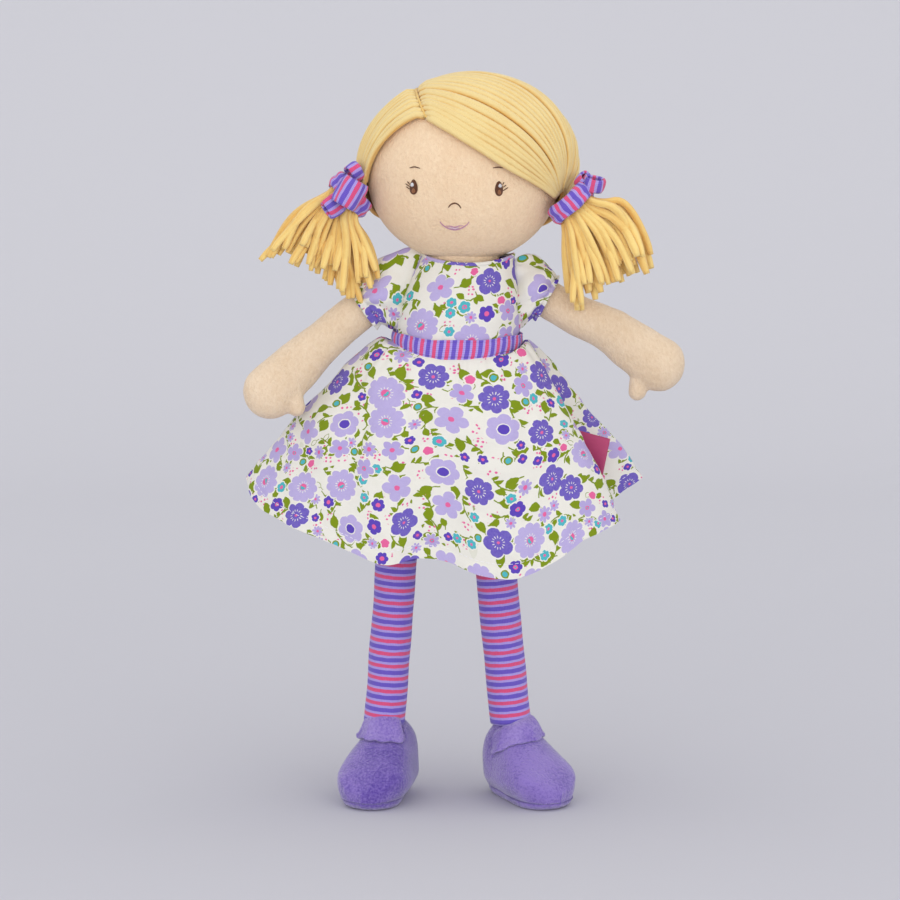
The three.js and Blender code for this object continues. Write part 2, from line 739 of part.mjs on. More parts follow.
// Sleeves: a gathered puff from the armhole to a mouth round the arm, with a frilled edge
function sleeveRows(side, grow, points) {
  const sign = signs[side];
  const pivot = armRoute(side)[0];
  const armAim = new THREE.CatmullRomCurve3(armRoute(side)).getTangentAt(0);
  const { wide, lean } = bodyAt(shoulderHeight);
  const armhole = new THREE.Vector3(lean + sign * wide, 0, sleeveCentre);
  const wave = (turn) => 1 + sleeveGatherDepth * Math.cos(sleeveGathers * turn);
  return sleeveShares.map(([out, size, tilt]) => {
    const aim = new THREE.Vector3(sign, 0, 0).lerp(armAim, tilt).normalize();
    const centre = armhole.clone().addScaledVector(new THREE.Vector3(sign, 0, 0), out * sleeveReach);
    const onArm = pivot.clone().addScaledVector(armAim, (centre.x - pivot.x) / armAim.x);
    centre.z = mix(sleeveCentre, onArm.z, tilt);
    const high = mix(sleeveMouthRadius, sleeveHalfHeight, size) + grow;
    const deep = mix(sleeveMouthRadius, sleeveHalfDepth, size) + grow;
    return facingRing(centre, aim, high, deep, points, wave);
  });
}

const sleeveSides = 24;
const insideRows = bodiceRows(cotton + seam, bodySides);
const bodiceFilled = loft(insideRows, new THREE.Vector3(bodyWaist.lean, 0, bodiceBottom),
  new THREE.Vector3(bodyTop.lean, 0, bodiceTop));
for (const side of bothSides) {
  const sleeve = tubeWall(sleeveRows(side, 0, sleeveSides), sleeveRows(side, -cotton, sleeveSides));
  addPiece(`sleeve_${side}`, fromSolid(solid(sleeve).subtract(solid(bodiceFilled))), printedCotton);
}

// Hair: each side is a cap of strips that run from the parting to the bunch on that side.
// Directions from the middle of the head, before the head's own size stretches them.
const partingShares = [
  [-0.36, -0.73, 0.58], [-0.46, -0.2, 0.86], [-0.4, 0.4, 0.82], [-0.22, 0.86, 0.46],
  [-0.05, 0.99, -0.05], [0, 0.78, -0.62],
];
const bunchDirections = { right: [-0.94, -0.2, -0.27], left: [0.9, -0.34, -0.27] };

// How far the front strips bow away from a straight run
const frontBow = { right: -0.09, left: 0.19 };

function hairPoint(side, across, down, grow) {
  const parting = new THREE.CatmullRomCurve3(partingShares.map(vector));
  const from = parting.getPoint(across).normalize();
  const to = vector(bunchDirections[side]).normalize();
  const sideways = from.clone().cross(to).normalize().multiplyScalar(-signs[side]);
  const angle = from.angleTo(to);
  const start = hairPartingGap / headHalfWidth;
  const end = 1 - bunchRadius / headHalfWidth / angle;
  const share = mix(start, end, down);
  const run = from.clone().multiplyScalar(Math.sin((1 - share) * angle));
  run.addScaledVector(to, Math.sin(share * angle)).normalize();
  const bow = frontBow[side] * Math.max(1 - across / frontBowShares[side], 0);
  run.addScaledVector(sideways, bow * Math.sin(share ** frontBowLeads[side] * Math.PI)).normalize();
  return new THREE.Vector3(
    headCentre.x + run.x * (headHalfWidth + grow),
    headCentre.y + run.y * (headHalfDepth + grow),
    headCentre.z + run.z * (headHalfHeight + grow),
  );
}

function hairThicknessAt(side, across, down, column) {
  const swell = bunchLift[side] * Math.sin(down ** 2 * Math.PI) * Math.sin(across * Math.PI);
  const groove = column % 2 === 0 ? hairRowDepth : 0;
  return hairThickness + swell - groove;
}

function hairShape(side, grow) {
  const columns = hairRows * 2;
  const rows = 9;
  const outer = [];
  const inner = [];
  for (let column = 0; column <= columns; column += 1) {
    const across = column / columns;
    const outerLine = [];
    const innerLine = [];
    for (let row = 0; row <= rows; row += 1) {
      const down = row / rows;
      const thickness = hairThicknessAt(side, across, down, column);
      outerLine.push(hairPoint(side, across, down, hairSeat + thickness + grow));
      innerLine.push(hairPoint(side, across, down, hairSeat));
    }
    outer.push(outerLine);
    inner.push(innerLine);
  }
  return sheet(outer, inner);
}

for (const side of bothSides) {
  addPiece(`hair_${side}`, hairShape(side, 0), hairJersey);
}

// A round strip along a curve through a few points
function strip(points, radius, steps, halfSides) {
  const outline = new THREE.Shape();
  outline.absarc(0, 0, radius, 0, fullTurn);
  return new THREE.ExtrudeGeometry(outline, {
    steps, curveSegments: halfSides, bevelEnabled: false,
    extrudePath: new THREE.CatmullRomCurve3(points),
  });
}

// Middle of the root of a bunch, beside the head
function bunchCentre(side) {
  const halfSizes = new THREE.Vector3(headHalfWidth, headHalfDepth, headHalfHeight);
  return vector(bunchPlaceShares[side]).multiply(halfSizes).add(headCentre);
}

// Points along a strip that leaves the root, turns to its place in the fan and bends to the ground
function stripRoute(side, fan, layer, length) {
  const aim = vector(bunchAims[side]).normalize();
  const across = new THREE.Vector3(0, 1, 0).cross(aim).normalize();
  const deep = aim.clone().cross(across);
  const [firstTurn, lastTurn] = bunchFanDegrees[side].map(THREE.MathUtils.degToRad);
  const place = bunchCentre(side).addScaledVector(across, fan * rootRadius * bunchRootShare);
  const points = [];
  for (let step = 0; step <= stripSteps; step += 1) {
    const share = step / stripSteps;
    const apart = layer * mix(...stripLayerShares, share) * stripRadius;
    points.push(place.clone().addScaledVector(deep, apart));
    const turn = mix(firstTurn, lastTurn, (fan + 1) / 2) * Math.min(share / bunchOpenShare, 1);
    const heading = aim.clone().multiplyScalar(Math.cos(turn)).addScaledVector(across, Math.sin(turn));
    heading.z -= bunchFallShares[side] * share;
    place.addScaledVector(heading.normalize(), length / stripSteps);
  }
  return points;
}

// The bunch: strips that leave a gathered root along its aim and fall apart towards their ends
function bunchShape(side) {
  const centre = bunchCentre(side);
  const root = new THREE.SphereGeometry(rootRadius, 12, 8);
  root.translate(centre.x, centre.y, centre.z);
  let bunch = solid(root);
  for (let count = 0; count < stripCount; count += 1) {
    const fan = ((count + 0.5) / stripCount) * 2 - 1;
    const layer = (count % 3) - 1;
    const ragged = bunchRaggedShare * Math.abs(Math.sin(count * bunchRaggedTurn));
    const length = bunchLength[side] * (1 - ragged);
    const points = stripRoute(side, fan, layer, length);
    bunch = bunch.add(solid(strip(points, stripRadius, 5, 3)));
  }
  return bunch;
}

// A short loop of jersey, standing up round its aim
function loopShape(root, loop) {
  const centre = root.clone().addScaledVector(vector(loop.at), bandHalfWidth);
  const aim = vector(loop.aim).normalize();
  const halfWidth = loop.wide * bandHalfWidth;
  const halfDepth = loop.deep * bandHalfWidth;
  const rows = (grow) => [-1, 1].map((end) => {
    const middle = centre.clone().addScaledVector(aim, (end * loop.tall * bandHalfWidth) / 2);
    return facingRing(middle, aim, halfWidth + grow, halfDepth + grow, 14);
  });
  return tubeWall(rows(0), rows(-loopWall));
}

// The tie: a jersey band round the root, cut to sit on the hair, with the loops of its bow
function tieShape(side) {
  const centre = bunchCentre(side);
  const aim = vector(bunchAims[side]).normalize();
  const rows = (grow) => bandRingShares.map((height) => {
    const middle = centre.clone().addScaledVector(aim, (height * bandHeight) / 2);
    const swell = grow * (1 - bandSlimShare * height * height);
    const flare = grow === 0 ? height * height * bandMouthFlare : 0;
    return facingRing(middle, aim, bandHalfWidth - bandThickness + swell + flare,
      bandHalfDepth - bandThickness + swell + flare, 24);
  });
  const bore = loft(rows(0), centre.clone().addScaledVector(aim, -bandHeight / 2),
    centre.clone().addScaledVector(aim, bandHeight / 2));
  let tie = solid(tubeWall(rows(bandThickness), rows(0)));
  for (const loop of bowLoopShares[side]) {
    tie = tie.add(solid(loopShape(centre, loop)).subtract(solid(bore)));
  }
  return tie;
}

for (const side of bothSides) {
  addPiece(`bunch_${side}`, fromSolid(bunchShape(side)), hairJersey);
  const tie = tieShape(side).subtract(solid(hairShape(side, seam))).subtract(solid(headShape(seam)));
  addPiece(`hair_tie_${side}`, fromSolid(tie), stripedKnit);
}

export default doll;
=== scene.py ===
"""A soft rag doll in a print dress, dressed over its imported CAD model. Lengths are in metres."""

import json
import math
import random

import bmesh
import bpy
import numpy as np
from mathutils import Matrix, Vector, noise


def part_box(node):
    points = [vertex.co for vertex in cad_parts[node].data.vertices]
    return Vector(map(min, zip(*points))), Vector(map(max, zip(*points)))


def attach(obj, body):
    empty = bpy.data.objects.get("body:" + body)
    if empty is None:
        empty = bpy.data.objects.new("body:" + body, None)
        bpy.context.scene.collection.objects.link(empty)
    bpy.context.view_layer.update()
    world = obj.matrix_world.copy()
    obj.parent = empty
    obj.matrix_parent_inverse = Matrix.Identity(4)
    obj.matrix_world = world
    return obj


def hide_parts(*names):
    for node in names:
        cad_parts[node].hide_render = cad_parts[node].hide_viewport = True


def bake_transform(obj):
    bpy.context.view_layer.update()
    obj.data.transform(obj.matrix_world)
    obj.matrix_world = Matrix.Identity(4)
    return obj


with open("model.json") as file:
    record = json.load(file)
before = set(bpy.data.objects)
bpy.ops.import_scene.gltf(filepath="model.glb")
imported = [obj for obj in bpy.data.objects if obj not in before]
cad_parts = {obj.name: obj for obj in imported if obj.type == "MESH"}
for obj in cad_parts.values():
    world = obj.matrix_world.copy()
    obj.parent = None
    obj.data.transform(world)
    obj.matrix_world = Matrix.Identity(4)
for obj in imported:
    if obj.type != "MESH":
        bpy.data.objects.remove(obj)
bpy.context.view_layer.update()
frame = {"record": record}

SIDES = ("right", "left")
SIGN = {"right": -1, "left": 1}
FULL_TURN = 2 * math.pi


def joint_place(name):
    """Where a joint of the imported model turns."""
    joints = frame["record"]["behaviour"]["joints"]
    return np.array(next(j["pos_m"] for j in joints if j["name"] == name), float)


def node_box(name):
    low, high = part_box(name)
    return np.array(low, float), np.array(high, float)


def unit(vector):
    vector = np.asarray(vector, float)
    length = np.linalg.norm(vector, axis=-1, keepdims=True)
    return vector / np.maximum(length, 1e-12)


def smooth(low, high, value):
    share = np.clip((np.asarray(value, float) - low) / (high - low), 0, 1)
    return share * share * (3 - 2 * share)


def averaged(values, passes):
    """Values along the first axis, each drawn towards its neighbours."""
    for _ in range(passes):
        values[1:-1] = (values[:-2] + 2 * values[1:-1] + values[2:]) / 4
    return values


def turns_round(sides):
    """Even angles all the way round."""
    return np.arange(sides) / sides * FULL_TURN


def running(steps):
    """Running sums that start at 0."""
    return np.concatenate([[0], np.cumsum(steps)])


def arc_lengths(line):
    """How far along a line each of its points lies."""
    return running(np.linalg.norm(np.diff(line, axis=0), axis=1))


def ring_closed(rows):
    """Rows whose first column is repeated at their end."""
    return np.concatenate([rows, rows[:, :1]], axis=1)


def grid(downs, arounds, place):
    """A row of points for each of downs, where place(down, around) gives the point."""
    return np.array([[place(down, around) for around in arounds] for down in downs])


def placed(name, data):
    """A new object in the scene, made of the data."""
    item = bpy.data.objects.new(name, data)
    bpy.context.scene.collection.objects.link(item)
    return item


def smooth_shaded(mesh):
    mesh.polygons.foreach_set("use_smooth", [True] * len(mesh.polygons))


# Camera
PHOTO_SIZE = 900
SENSOR_WIDTH = 36
CAMERA_AIM = Vector((-0.0072, 0, 0.1943))
CAMERA_DISTANCE = 1.379
CAMERA_ELEVATION = math.radians(7)
CAMERA_LENS = 100
CAMERA_BACK = (0, -math.cos(CAMERA_ELEVATION), math.sin(CAMERA_ELEVATION))


def make_camera():
    data = bpy.data.cameras.new("camera")
    data.lens = CAMERA_LENS
    data.sensor_width = SENSOR_WIDTH
    camera = placed("camera", data)
    back = Vector(CAMERA_BACK)
    camera.location = CAMERA_AIM + back * CAMERA_DISTANCE
    camera.rotation_euler = (-back).to_track_quat("-Z", "Y").to_euler()
    bpy.context.scene.camera = camera


# Curves
def catmull(points, share, closed=False):
    """A centripetal curve through points, at a share of its spans."""
    points = np.asarray(points, float)
    count = len(points)
    spans = count if closed else count - 1
    at = share * spans
    index = min(int(math.floor(at)), spans - 1) if not closed else int(math.floor(at)) % count
    weight = at - math.floor(at) if closed else at - index
    if closed:
        before, start, end, after = (points[(index + k) % count] for k in (-1, 0, 1, 2))
    else:
        start, end = points[index], points[index + 1]
        before = points[index - 1] if index > 0 else 2 * start - end
        after = points[index + 2] if index + 2 < count else 2 * end - start
    pairs = ((before, start), (start, end), (end, after))
    gap_in, gap, gap_out = (max(np.linalg.norm(b - a) ** 0.5, 1e-6) for a, b in pairs)
    leave = (start - before) / gap_in - (end - before) / (gap_in + gap) + (end - start) / gap
    arrive = (end - start) / gap - (after - start) / (gap + gap_out) + (after - end) / gap_out
    leave, arrive = leave * gap, arrive * gap
    square = -3 * start + 3 * end - 2 * leave - arrive
    cube = 2 * start - 2 * end + leave + arrive
    return start + leave * weight + square * weight**2 + cube * weight**3


def curve_points(points, count, closed=False):
    """Evenly spaced points along the curve through points."""
    fine = np.array([catmull(points, s, closed) for s in np.linspace(0, 1, 16 * len(points))])
    return even_points(fine, count)


def even_points(line, count):
    line = np.asarray(line, float)
    reach = arc_lengths(line)
    wanted = np.linspace(0, reach[-1], count)
    return np.stack([np.interp(wanted, reach, line[:, k]) for k in range(3)], axis=1)


def table_at(table, share):
    """Value of a table of (share, value) pairs, smooth between its entries."""
    shares, values = zip(*table)
    return float(np.interp(share, shares, values))


def tube_rows(line, wide, deep, sides, up=(0, 1, 0), groove=0.0):
    """Rings of points round a line, each square to it; wide and deep are half-sizes along it."""
    line = np.asarray(line, float)
    count = len(line)
    aims = unit(np.gradient(line, axis=0))
    ups = np.broadcast_to(np.asarray(up, float), (count, 3))
    ups = unit(ups - aims * np.sum(ups * aims, axis=1, keepdims=True))
    across = np.cross(ups, aims)
    wide = np.broadcast_to(np.asarray(wide, float), (count,))
    deep = np.broadcast_to(np.asarray(deep, float), (count,))
    turns = turns_round(sides)
    swell = 1 - groove * np.exp(-(((turns - math.pi * 0.62) / 0.3) ** 2))
    rows = line[:, None, :] + (
        across[:, None, :] * (wide[:, None] * np.cos(turns) * swell)[..., None]
        + ups[:, None, :] * (deep[:, None] * np.sin(turns) * swell)[..., None]
    )
    return rows


# Meshes
class Fabric:
    """Rows of points gathered into one mesh, with the flat cloth's sizes as its UV map."""

    def __init__(self):
        self.points = []
        self.faces = []
        self.flats = []
        self.count = 0

    def add(self, rows, closed=False, flat=None, caps=(False, False)):
        rows = np.asarray(rows, float)
        spans, sides = rows.shape[:2]
        first = self.count
        self.points.append(rows.reshape(-1, 3))
        self.count += spans * sides
        flat = self.flat_of(rows, closed) if flat is None else np.asarray(flat, float)
        across = sides if closed else sides - 1
        for row in range(spans - 1):
            for side in range(across):
                following = (side + 1) % sides
                corners = (
                    (row, side, side), (row, following, side + 1),
                    (row + 1, following, side + 1), (row + 1, side, side),
                )
                self.faces.append([first + r * sides + s for r, s, _ in corners])
                self.flats.extend(flat[r, u] for r, _, u in corners)
        for end, wanted in zip((0, spans - 1), caps):
            if wanted:
                ring = list(range(sides)) if end else list(range(sides))[::-1]
                self.faces.append([first + end * sides + s for s in ring])
                self.flats.extend(flat[end, s] for s in ring)
        return self

    def body(self, rows, flat=None):
        """A closed form: rings of points, with both ends capped."""
        return self.add(rows, True, flat, (True, True))

    @staticmethod
    def flat_of(rows, closed):
        """Flat size of a grid: arc lengths along its middle row and down each column."""
        ring = ring_closed(rows) if closed else rows
        widths = np.linalg.norm(np.diff(ring, axis=1), axis=2)
        middle = widths.mean(axis=0)
        u = running(middle)
        downs = np.linalg.norm(np.diff(rows, axis=0), axis=2).mean(axis=1)
        v = running(downs)
        return np.stack(np.meshgrid(u, v), axis=2)

    def shell(self, rows, thickness, flat=None, closed=False):
        """A thin cloth: the rows, moved out and in by half the thickness, joined at the edges."""
        rows = np.asarray(rows, float)
        normals = grid_normals(rows, closed)
        outer, inner = rows + normals * thickness / 2, rows - normals * thickness / 2
        flat = self.flat_of(rows, closed) if flat is None else np.asarray(flat, float)
        spans, sides = rows.shape[:2]
        first = self.count
        self.add(outer, closed, flat)
        mark, marks = len(self.faces), len(self.flats)
        self.add(inner, closed, flat)
        for index in range(mark, len(self.faces)):
            self.faces[index] = self.faces[index][::-1]
        turned = self.flats[marks:]
        self.flats[marks:] = [c for k in range(0, len(turned), 4) for c in turned[k:k + 4][::-1]]
        inside = first + spans * sides
        edges = []
        across = sides if closed else sides - 1
        for side in range(across):
            following = (side + 1) % sides
            edges.append((0, following, side, side + 1, side))
            edges.append((spans - 1, side, following, side, side + 1))
        for row, a, b, ua, ub in edges:
            self.faces.append([
                first + row * sides + a, first + row * sides + b,
                inside + row * sides + b, inside + row * sides + a,
            ])
            ends = (ub, ua) if row == 0 else (ua, ub)
            self.flats.extend([flat[row, ends[0]], flat[row, ends[1]],
                               flat[row, ends[1]], flat[row, ends[0]]])
        if not closed:
            for row in range(spans - 1):
                for side, (a, b) in ((0, (row, row + 1)), (sides - 1, (row + 1, row))):
                    self.faces.append([
                        first + a * sides + side, first + b * sides + side,
                        inside + b * sides + side, inside + a * sides + side,
                    ])
                    self.flats.extend([flat[a, side], flat[b, side], flat[b, side], flat[a, side]])
        return self

    def make(self, name):
        mesh = bpy.data.meshes.new(name)
        mesh.from_pydata(np.concatenate(self.points).tolist(), [], self.faces)
        layer = mesh.uv_layers.new(name="flat")
        layer.data.foreach_set("uv", np.asarray(self.flats, float).ravel())
        smooth_shaded(mesh)
        piece = placed(name, mesh)
        tidy = bmesh.new()
        tidy.from_mesh(mesh)
        bmesh.ops.recalc_face_normals(tidy, faces=tidy.faces)
        tidy.to_mesh(mesh)
        tidy.free()
        return piece


def grid_normals(rows, closed):
    ring = np.concatenate([rows[:, -1:], rows, rows[:, :1]], axis=1) if closed else rows
    along = np.gradient(ring, axis=1)
    if closed:
        along = along[:, 1:-1]
    down = np.gradient(rows, axis=0)
    return unit(np.cross(down, along))


def wrinkle(point, size, seed=0.0):
    """A soft random value from about -1 to 1 at a point, the same each run."""
    return noise.noise(Vector((point[0] / size + seed, point[1] / size, point[2] / size)))


def lumpy(rows, size, depth, seed, closed=True):
    """Rows pushed in and out along their normals by soft lumps of a size."""
    rows = np.asarray(rows, float)
    normals = grid_normals(rows, closed)
    lumps = np.array([[wrinkle(p, size, seed) for p in row] for row in rows])
    return rows + normals * (lumps * depth)[..., None]


# Materials
class Graph:
    """A material whose nodes are made by short calls."""

    def __init__(self, name, roughness=0.9, sheen=0.0, sheen_roughness=0.5):
        self.material = bpy.data.materials.new(name)
        self.material.use_nodes = True
        self.tree = self.material.node_tree
        self.shader = self.tree.nodes["Principled BSDF"]
        self.shader.inputs["Roughness"].default_value = roughness
        self.shader.inputs["Specular IOR Level"].default_value = 0.25
        self.shader.inputs["Sheen Weight"].default_value = sheen
        self.shader.inputs["Sheen Roughness"].default_value = sheen_roughness

    def put(self, socket, value):
        if isinstance(value, bpy.types.NodeSocket):
            self.tree.links.new(value, socket)
        elif value is not None:
            socket.default_value = value

    def node(self, kind, **settings):
        node = self.tree.nodes.new(kind)
        for key, value in settings.items():
            setattr(node, key, value)
        return node

    def math(self, operation, a, b=None, c=None, clamp=False):
        node = self.node("ShaderNodeMath", operation=operation, use_clamp=clamp)
        for socket, value in zip(node.inputs, (a, b, c)):
            self.put(socket, value)
        return node.outputs[0]

    def sum(self, a, b):
        return self.math("ADD", a, b)

    def less(self, a, b):
        return self.math("SUBTRACT", a, b)

    def times(self, a, b):
        return self.math("MULTIPLY", a, b)

    def step(self, value, low, high):
        """0 below low, 1 above high, smooth between."""
        node = self.node("ShaderNodeMapRange", interpolation_type="SMOOTHSTEP")
        for key, given in (("Value", value), ("From Min", low), ("From Max", high)):
            self.put(node.inputs[key], given)
        return node.outputs["Result"]

    def span(self, value, low, high, to_low, to_high):
        node = self.node("ShaderNodeMapRange")
        given = (value, low, high, to_low, to_high)
        for key, item in zip(("Value", "From Min", "From Max", "To Min", "To Max"), given):
            self.put(node.inputs[key], item)
        return node.outputs["Result"]

    def mix(self, share, a, b, blend="MIX"):
        node = self.node("ShaderNodeMix", data_type="RGBA", blend_type=blend)
        self.put(node.inputs["Factor"], share)
        self.put(node.inputs["A"], a)
        self.put(node.inputs["B"], b)
        return [o for o in node.outputs if o.type == "RGBA"][0]

    def noise(self, vector, scale, detail=2.0, roughness=0.5, color=False):
        node = self.node("ShaderNodeTexNoise")
        for key, given in (("Vector", vector), ("Scale", scale), ("Detail", detail),
                           ("Roughness", roughness)):
            self.put(node.inputs[key], given)
        return node.outputs["Color" if color else "Fac"]

    def place(self):
        return self.node("ShaderNodeTexCoord").outputs["Object"]

    def flat(self):
        return self.node("ShaderNodeUVMap", uv_map="flat").outputs["UV"]

    def parts(self, vector):
        node = self.node("ShaderNodeSeparateXYZ")
        self.put(node.inputs[0], vector)
        return node.outputs[0], node.outputs[1], node.outputs[2]

    def join(self, x, y, z=0.0):
        node = self.node("ShaderNodeCombineXYZ")
        for socket, value in zip(node.inputs, (x, y, z)):
            self.put(socket, value)
        return node.outputs[0]

    def scaled(self, vector, scale, shift=(0, 0, 0)):
        node = self.node("ShaderNodeVectorMath", operation="MULTIPLY_ADD")
        self.put(node.inputs[0], vector)
        self.put(node.inputs[1], scale if not np.isscalar(scale) else (scale, scale, scale))
        self.put(node.inputs[2], shift)
        return node.outputs[0]

    def steps(self, value, entries):
        """A ramp that jumps: entries are (from, (r, g, b))."""
        node = self.node("ShaderNodeValToRGB")
        ramp = node.color_ramp
        ramp.interpolation = "CONSTANT"
        while len(ramp.elements) < len(entries):
            ramp.elements.new(1.0)
        for element, (at, color) in zip(ramp.elements, entries):
            element.position = at
            element.color = (*color, 1.0)
        self.put(node.inputs[0], value)
        return node.outputs["Color"]

    def bump(self, height, distance, strength=1.0, normal=None):
        node = self.node("ShaderNodeBump")
        self.put(node.inputs["Height"], height)
        node.inputs["Distance"].default_value = distance
        node.inputs["Strength"].default_value = strength
        self.put(node.inputs["Normal"], normal)
        return node.outputs["Normal"]

    def finish(self, color, normal=None, roughness=None):
        self.put(self.shader.inputs["Base Color"], color)
        self.put(self.shader.inputs["Normal"], normal)
        self.put(self.shader.inputs["Roughness"], roughness)
        return self.material


def srgb(code):
    """A colour written as a hex code, as the linear values that shaders take."""
    values = [int(code[k:k + 2], 16) / 255 for k in (1, 3, 5)]
    return tuple(v / 12.92 if v <= 0.04045 else ((v + 0.055) / 1.055) ** 2.4 for v in values)


def colour(code):
    return (*srgb(code), 1.0)


SKIN = "#F9DEBC"
SKIN_DEEP = "#ECCBA6"
ARM_SKIN = "#EFD8BC"
ARM_DEEP = "#DFC3A2"
SHOE = "#543A9C"
SHOE_LIGHT = "#9079C6"
# The deeper golds of the hair and bunch strips are painted shade in the crevices between the strips.
HAIR = "#EAD192"
HAIR_CREVICE_SHADE = "#D99F3C"
BUNCH = "#F5D687"
BUNCH_CREVICE_SHADE = "#D6912A"
PINK = "#D9507F"
VIOLET = "#6A55BE"
LILAC = "#A898DC"
GROUND = "#E9E6DC"
PRINT_VIOLET = "#5B44B2"
PRINT_LILAC = "#B2A4D6"
PRINT_PINK = "#E2649A"
PRINT_TEAL = "#4FB2BE"
PRINT_OLIVE = "#7C9010"
GROUND_SHADE = "#E3E0D8"
BRIGHT = "#FFFFFF"
FLAP = "#775DB8"
FLAP_LIGHT = "#A48FD4"
# The sheet under the hair strips and the parting seam are a deeper gold than the strips: painted shade in
# the gaps between the strips.
HAIR_GAP_SHADE = "#E8C272"
HAIR_GAP_SHADE_DEEP = "#CE9A3C"
# The label's lighter colour is painted glint along the satin's weave lines.
LABEL = "#A3275B"
LABEL_GLINT = "#B93A6C"
# The lighter thread colours are painted highlight along each stitch's crown.
EYE_BROWN = "#4A2A1C"
EYE_BROWN_SHINE = "#7A4A30"
IRIS = "#8A5534"
IRIS_SHINE = "#B07850"
EYE_WHITE = "#DCDCE8"
LIPS = "#B9779C"
LIPS_SHINE = "#DFACC6"
PALE_LIPS = "#E2BCD0"
PALE_LIPS_SHINE = "#F8E4EA"
STITCH = "#E9E6EC"
SHOE_SEAM = "#4E378C"

VELOURS = {
    "skin": {"base": SKIN_DEEP, "light": SKIN, "patch": 40.0, "nap": 0.0009, "sheen": 0.25,
             "mottle": 0.2, "grain": 620.0, "lie": 0.6, "speck": 0.36},
    "arm": {"base": ARM_DEEP, "light": ARM_SKIN, "patch": 50.0, "nap": 0.0009, "sheen": 0.3,
            "mottle": 0.24, "grain": 620.0, "lie": 0.6, "speck": 0.36},
    "shoe": {"base": SHOE, "light": SHOE_LIGHT, "patch": 34.0, "nap": 0.0008, "sheen": 0.75,
             "mottle": 0.6, "grain": 760.0, "lie": 1.0, "speck": 0.5},
    "flap": {"base": FLAP, "light": FLAP_LIGHT, "patch": 60.0, "nap": 0.0008, "sheen": 0.6,
             "mottle": 0.4, "grain": 760.0, "lie": 1.0, "speck": 0.5},
}
STRIPE_PERIOD = 0.0071
STRIPE_EDGE = 0.02
STRIPE_SHARES = ((0.0, 0.31, PINK), (0.48, 0.83, VIOLET))
WEAVE_PERIOD = 0.00045


def velour(name, base, light, patch, nap, sheen, mottle, grain, lie, speck):
    """Brushed velour: short strokes of nap, lighter in patches that lie the other way."""
    g = Graph(name, roughness=0.95, sheen=sheen, sheen_roughness=0.45)
    place = g.place()
    stroke = g.noise(g.scaled(place, (1.0, 1.0, 0.6)), patch, 2.0, 0.5)
    hairs = g.noise(g.scaled(place, (1.0, 1.0, lie)), grain, 3.0, 0.65)
    fine = g.noise(place, 1900.0, 2.0, 0.6)
    tone = g.sum(g.span(stroke, 0.3, 0.7, 0.5 - mottle, 0.5 + mottle),
                 g.sum(g.span(hairs, 0.3, 0.7, -speck, speck), g.span(fine, 0.3, 0.7, -0.16, 0.16)))
    color = g.mix(g.math("ADD", tone, 0.05, clamp=True), colour(base), colour(light))
    tuft = g.sum(g.noise(place, 900.0, 4.0, 0.7), g.times(hairs, 1.2))
    soft = g.bump(stroke, 0.0006, 0.25)
    return g.finish(color, g.bump(tuft, nap, 0.8, soft))


def jersey_stripes():
    """Striped jersey: bands along V, with the fine ribs of the knit along U."""
    g = Graph("striped_jersey", roughness=0.9, sheen=0.25)
    u, v, _ = g.parts(g.flat())
    wobble = g.times(g.less(g.noise(g.flat(), 220.0, 2.0), 0.5), 0.0006)
    phase = g.math("FRACT", g.math("DIVIDE", g.sum(v, wobble), STRIPE_PERIOD))
    color = colour(LILAC)
    for start, end, code in STRIPE_SHARES:
        inside = g.times(g.step(phase, start, start + STRIPE_EDGE),
                         g.less(1.0, g.step(phase, end - STRIPE_EDGE, end)))
        color = g.mix(inside, color, colour(code))
    rib = g.math("SINE", g.times(u, FULL_TURN / 0.0009))
    row = g.math("SINE", g.times(v, FULL_TURN / 0.0008))
    knit = g.sum(rib, g.times(row, 0.5))
    fuzz = g.noise(g.place(), 2200.0, 2.0)
    shade = g.span(g.sum(knit, g.times(fuzz, 1.5)), -1.5, 3.0, 0.95, 1.12)
    color = g.mix(1.0, color, g.join(shade, shade, shade), "MULTIPLY")
    return g.finish(color, g.bump(g.sum(knit, fuzz), 0.00012, 0.7))


def hair_jersey(name, base, deep):
    """Plain jersey cut in strips that roll into tubes: painted shade, a deeper gold, where they face each
    other and in the crevices between them.
    """
    g = Graph(name, roughness=0.88, sheen=0.3)
    u, v, _ = g.parts(g.flat())
    fine = g.noise(g.scaled(g.flat(), (1.0, 0.25, 1.0)), 1300.0, 3.0, 0.6)
    cloudy = g.noise(g.place(), 60.0, 2.0)
    depth = g.node("ShaderNodeAttribute", attribute_name="depth").outputs["Fac"]
    tone = g.sum(g.sum(g.times(depth, 0.95), g.span(cloudy, 0.35, 0.65, -0.06, 0.1)),
                 g.span(fine, 0.3, 0.7, -0.08, 0.08))
    # Painted shade: the depth attribute, which marks the crevices between strips, mixes in the deeper gold.
    color = g.mix(g.math("ADD", tone, 0.0, clamp=True), colour(base), colour(deep))
    ribs = g.math("SINE", g.times(u, FULL_TURN / 0.0007))
    rows = g.math("SINE", g.times(v, FULL_TURN / 0.0006))
    height = g.sum(g.times(ribs, 0.6), g.sum(g.times(rows, 0.3), fine))
    return g.finish(color, g.bump(height, 0.00012, 0.6))


def satin(name, base, light):
    """A plain satin ribbon, woven so finely that it only glints in lines: painted glints, lighter lines
    along the weave, broken up at random.
    """
    g = Graph(name, roughness=0.42, sheen=0.2)
    u, v, _ = g.parts(g.flat())
    line = g.math("SINE", g.times(v, FULL_TURN / 0.0005))
    cross = g.math("SINE", g.times(u, FULL_TURN / 0.0004))
    cloth = g.noise(g.flat(), 400.0, 3.0)
    color = g.mix(g.span(g.sum(line, g.times(cloth, 2.0)), -1.0, 3.0, 0.0, 1.0),
                  colour(base), colour(light))
    g.shader.inputs["Specular IOR Level"].default_value = 0.5
    return g.finish(color, g.bump(g.sum(line, g.times(cross, 0.6)), 0.00005, 0.5))


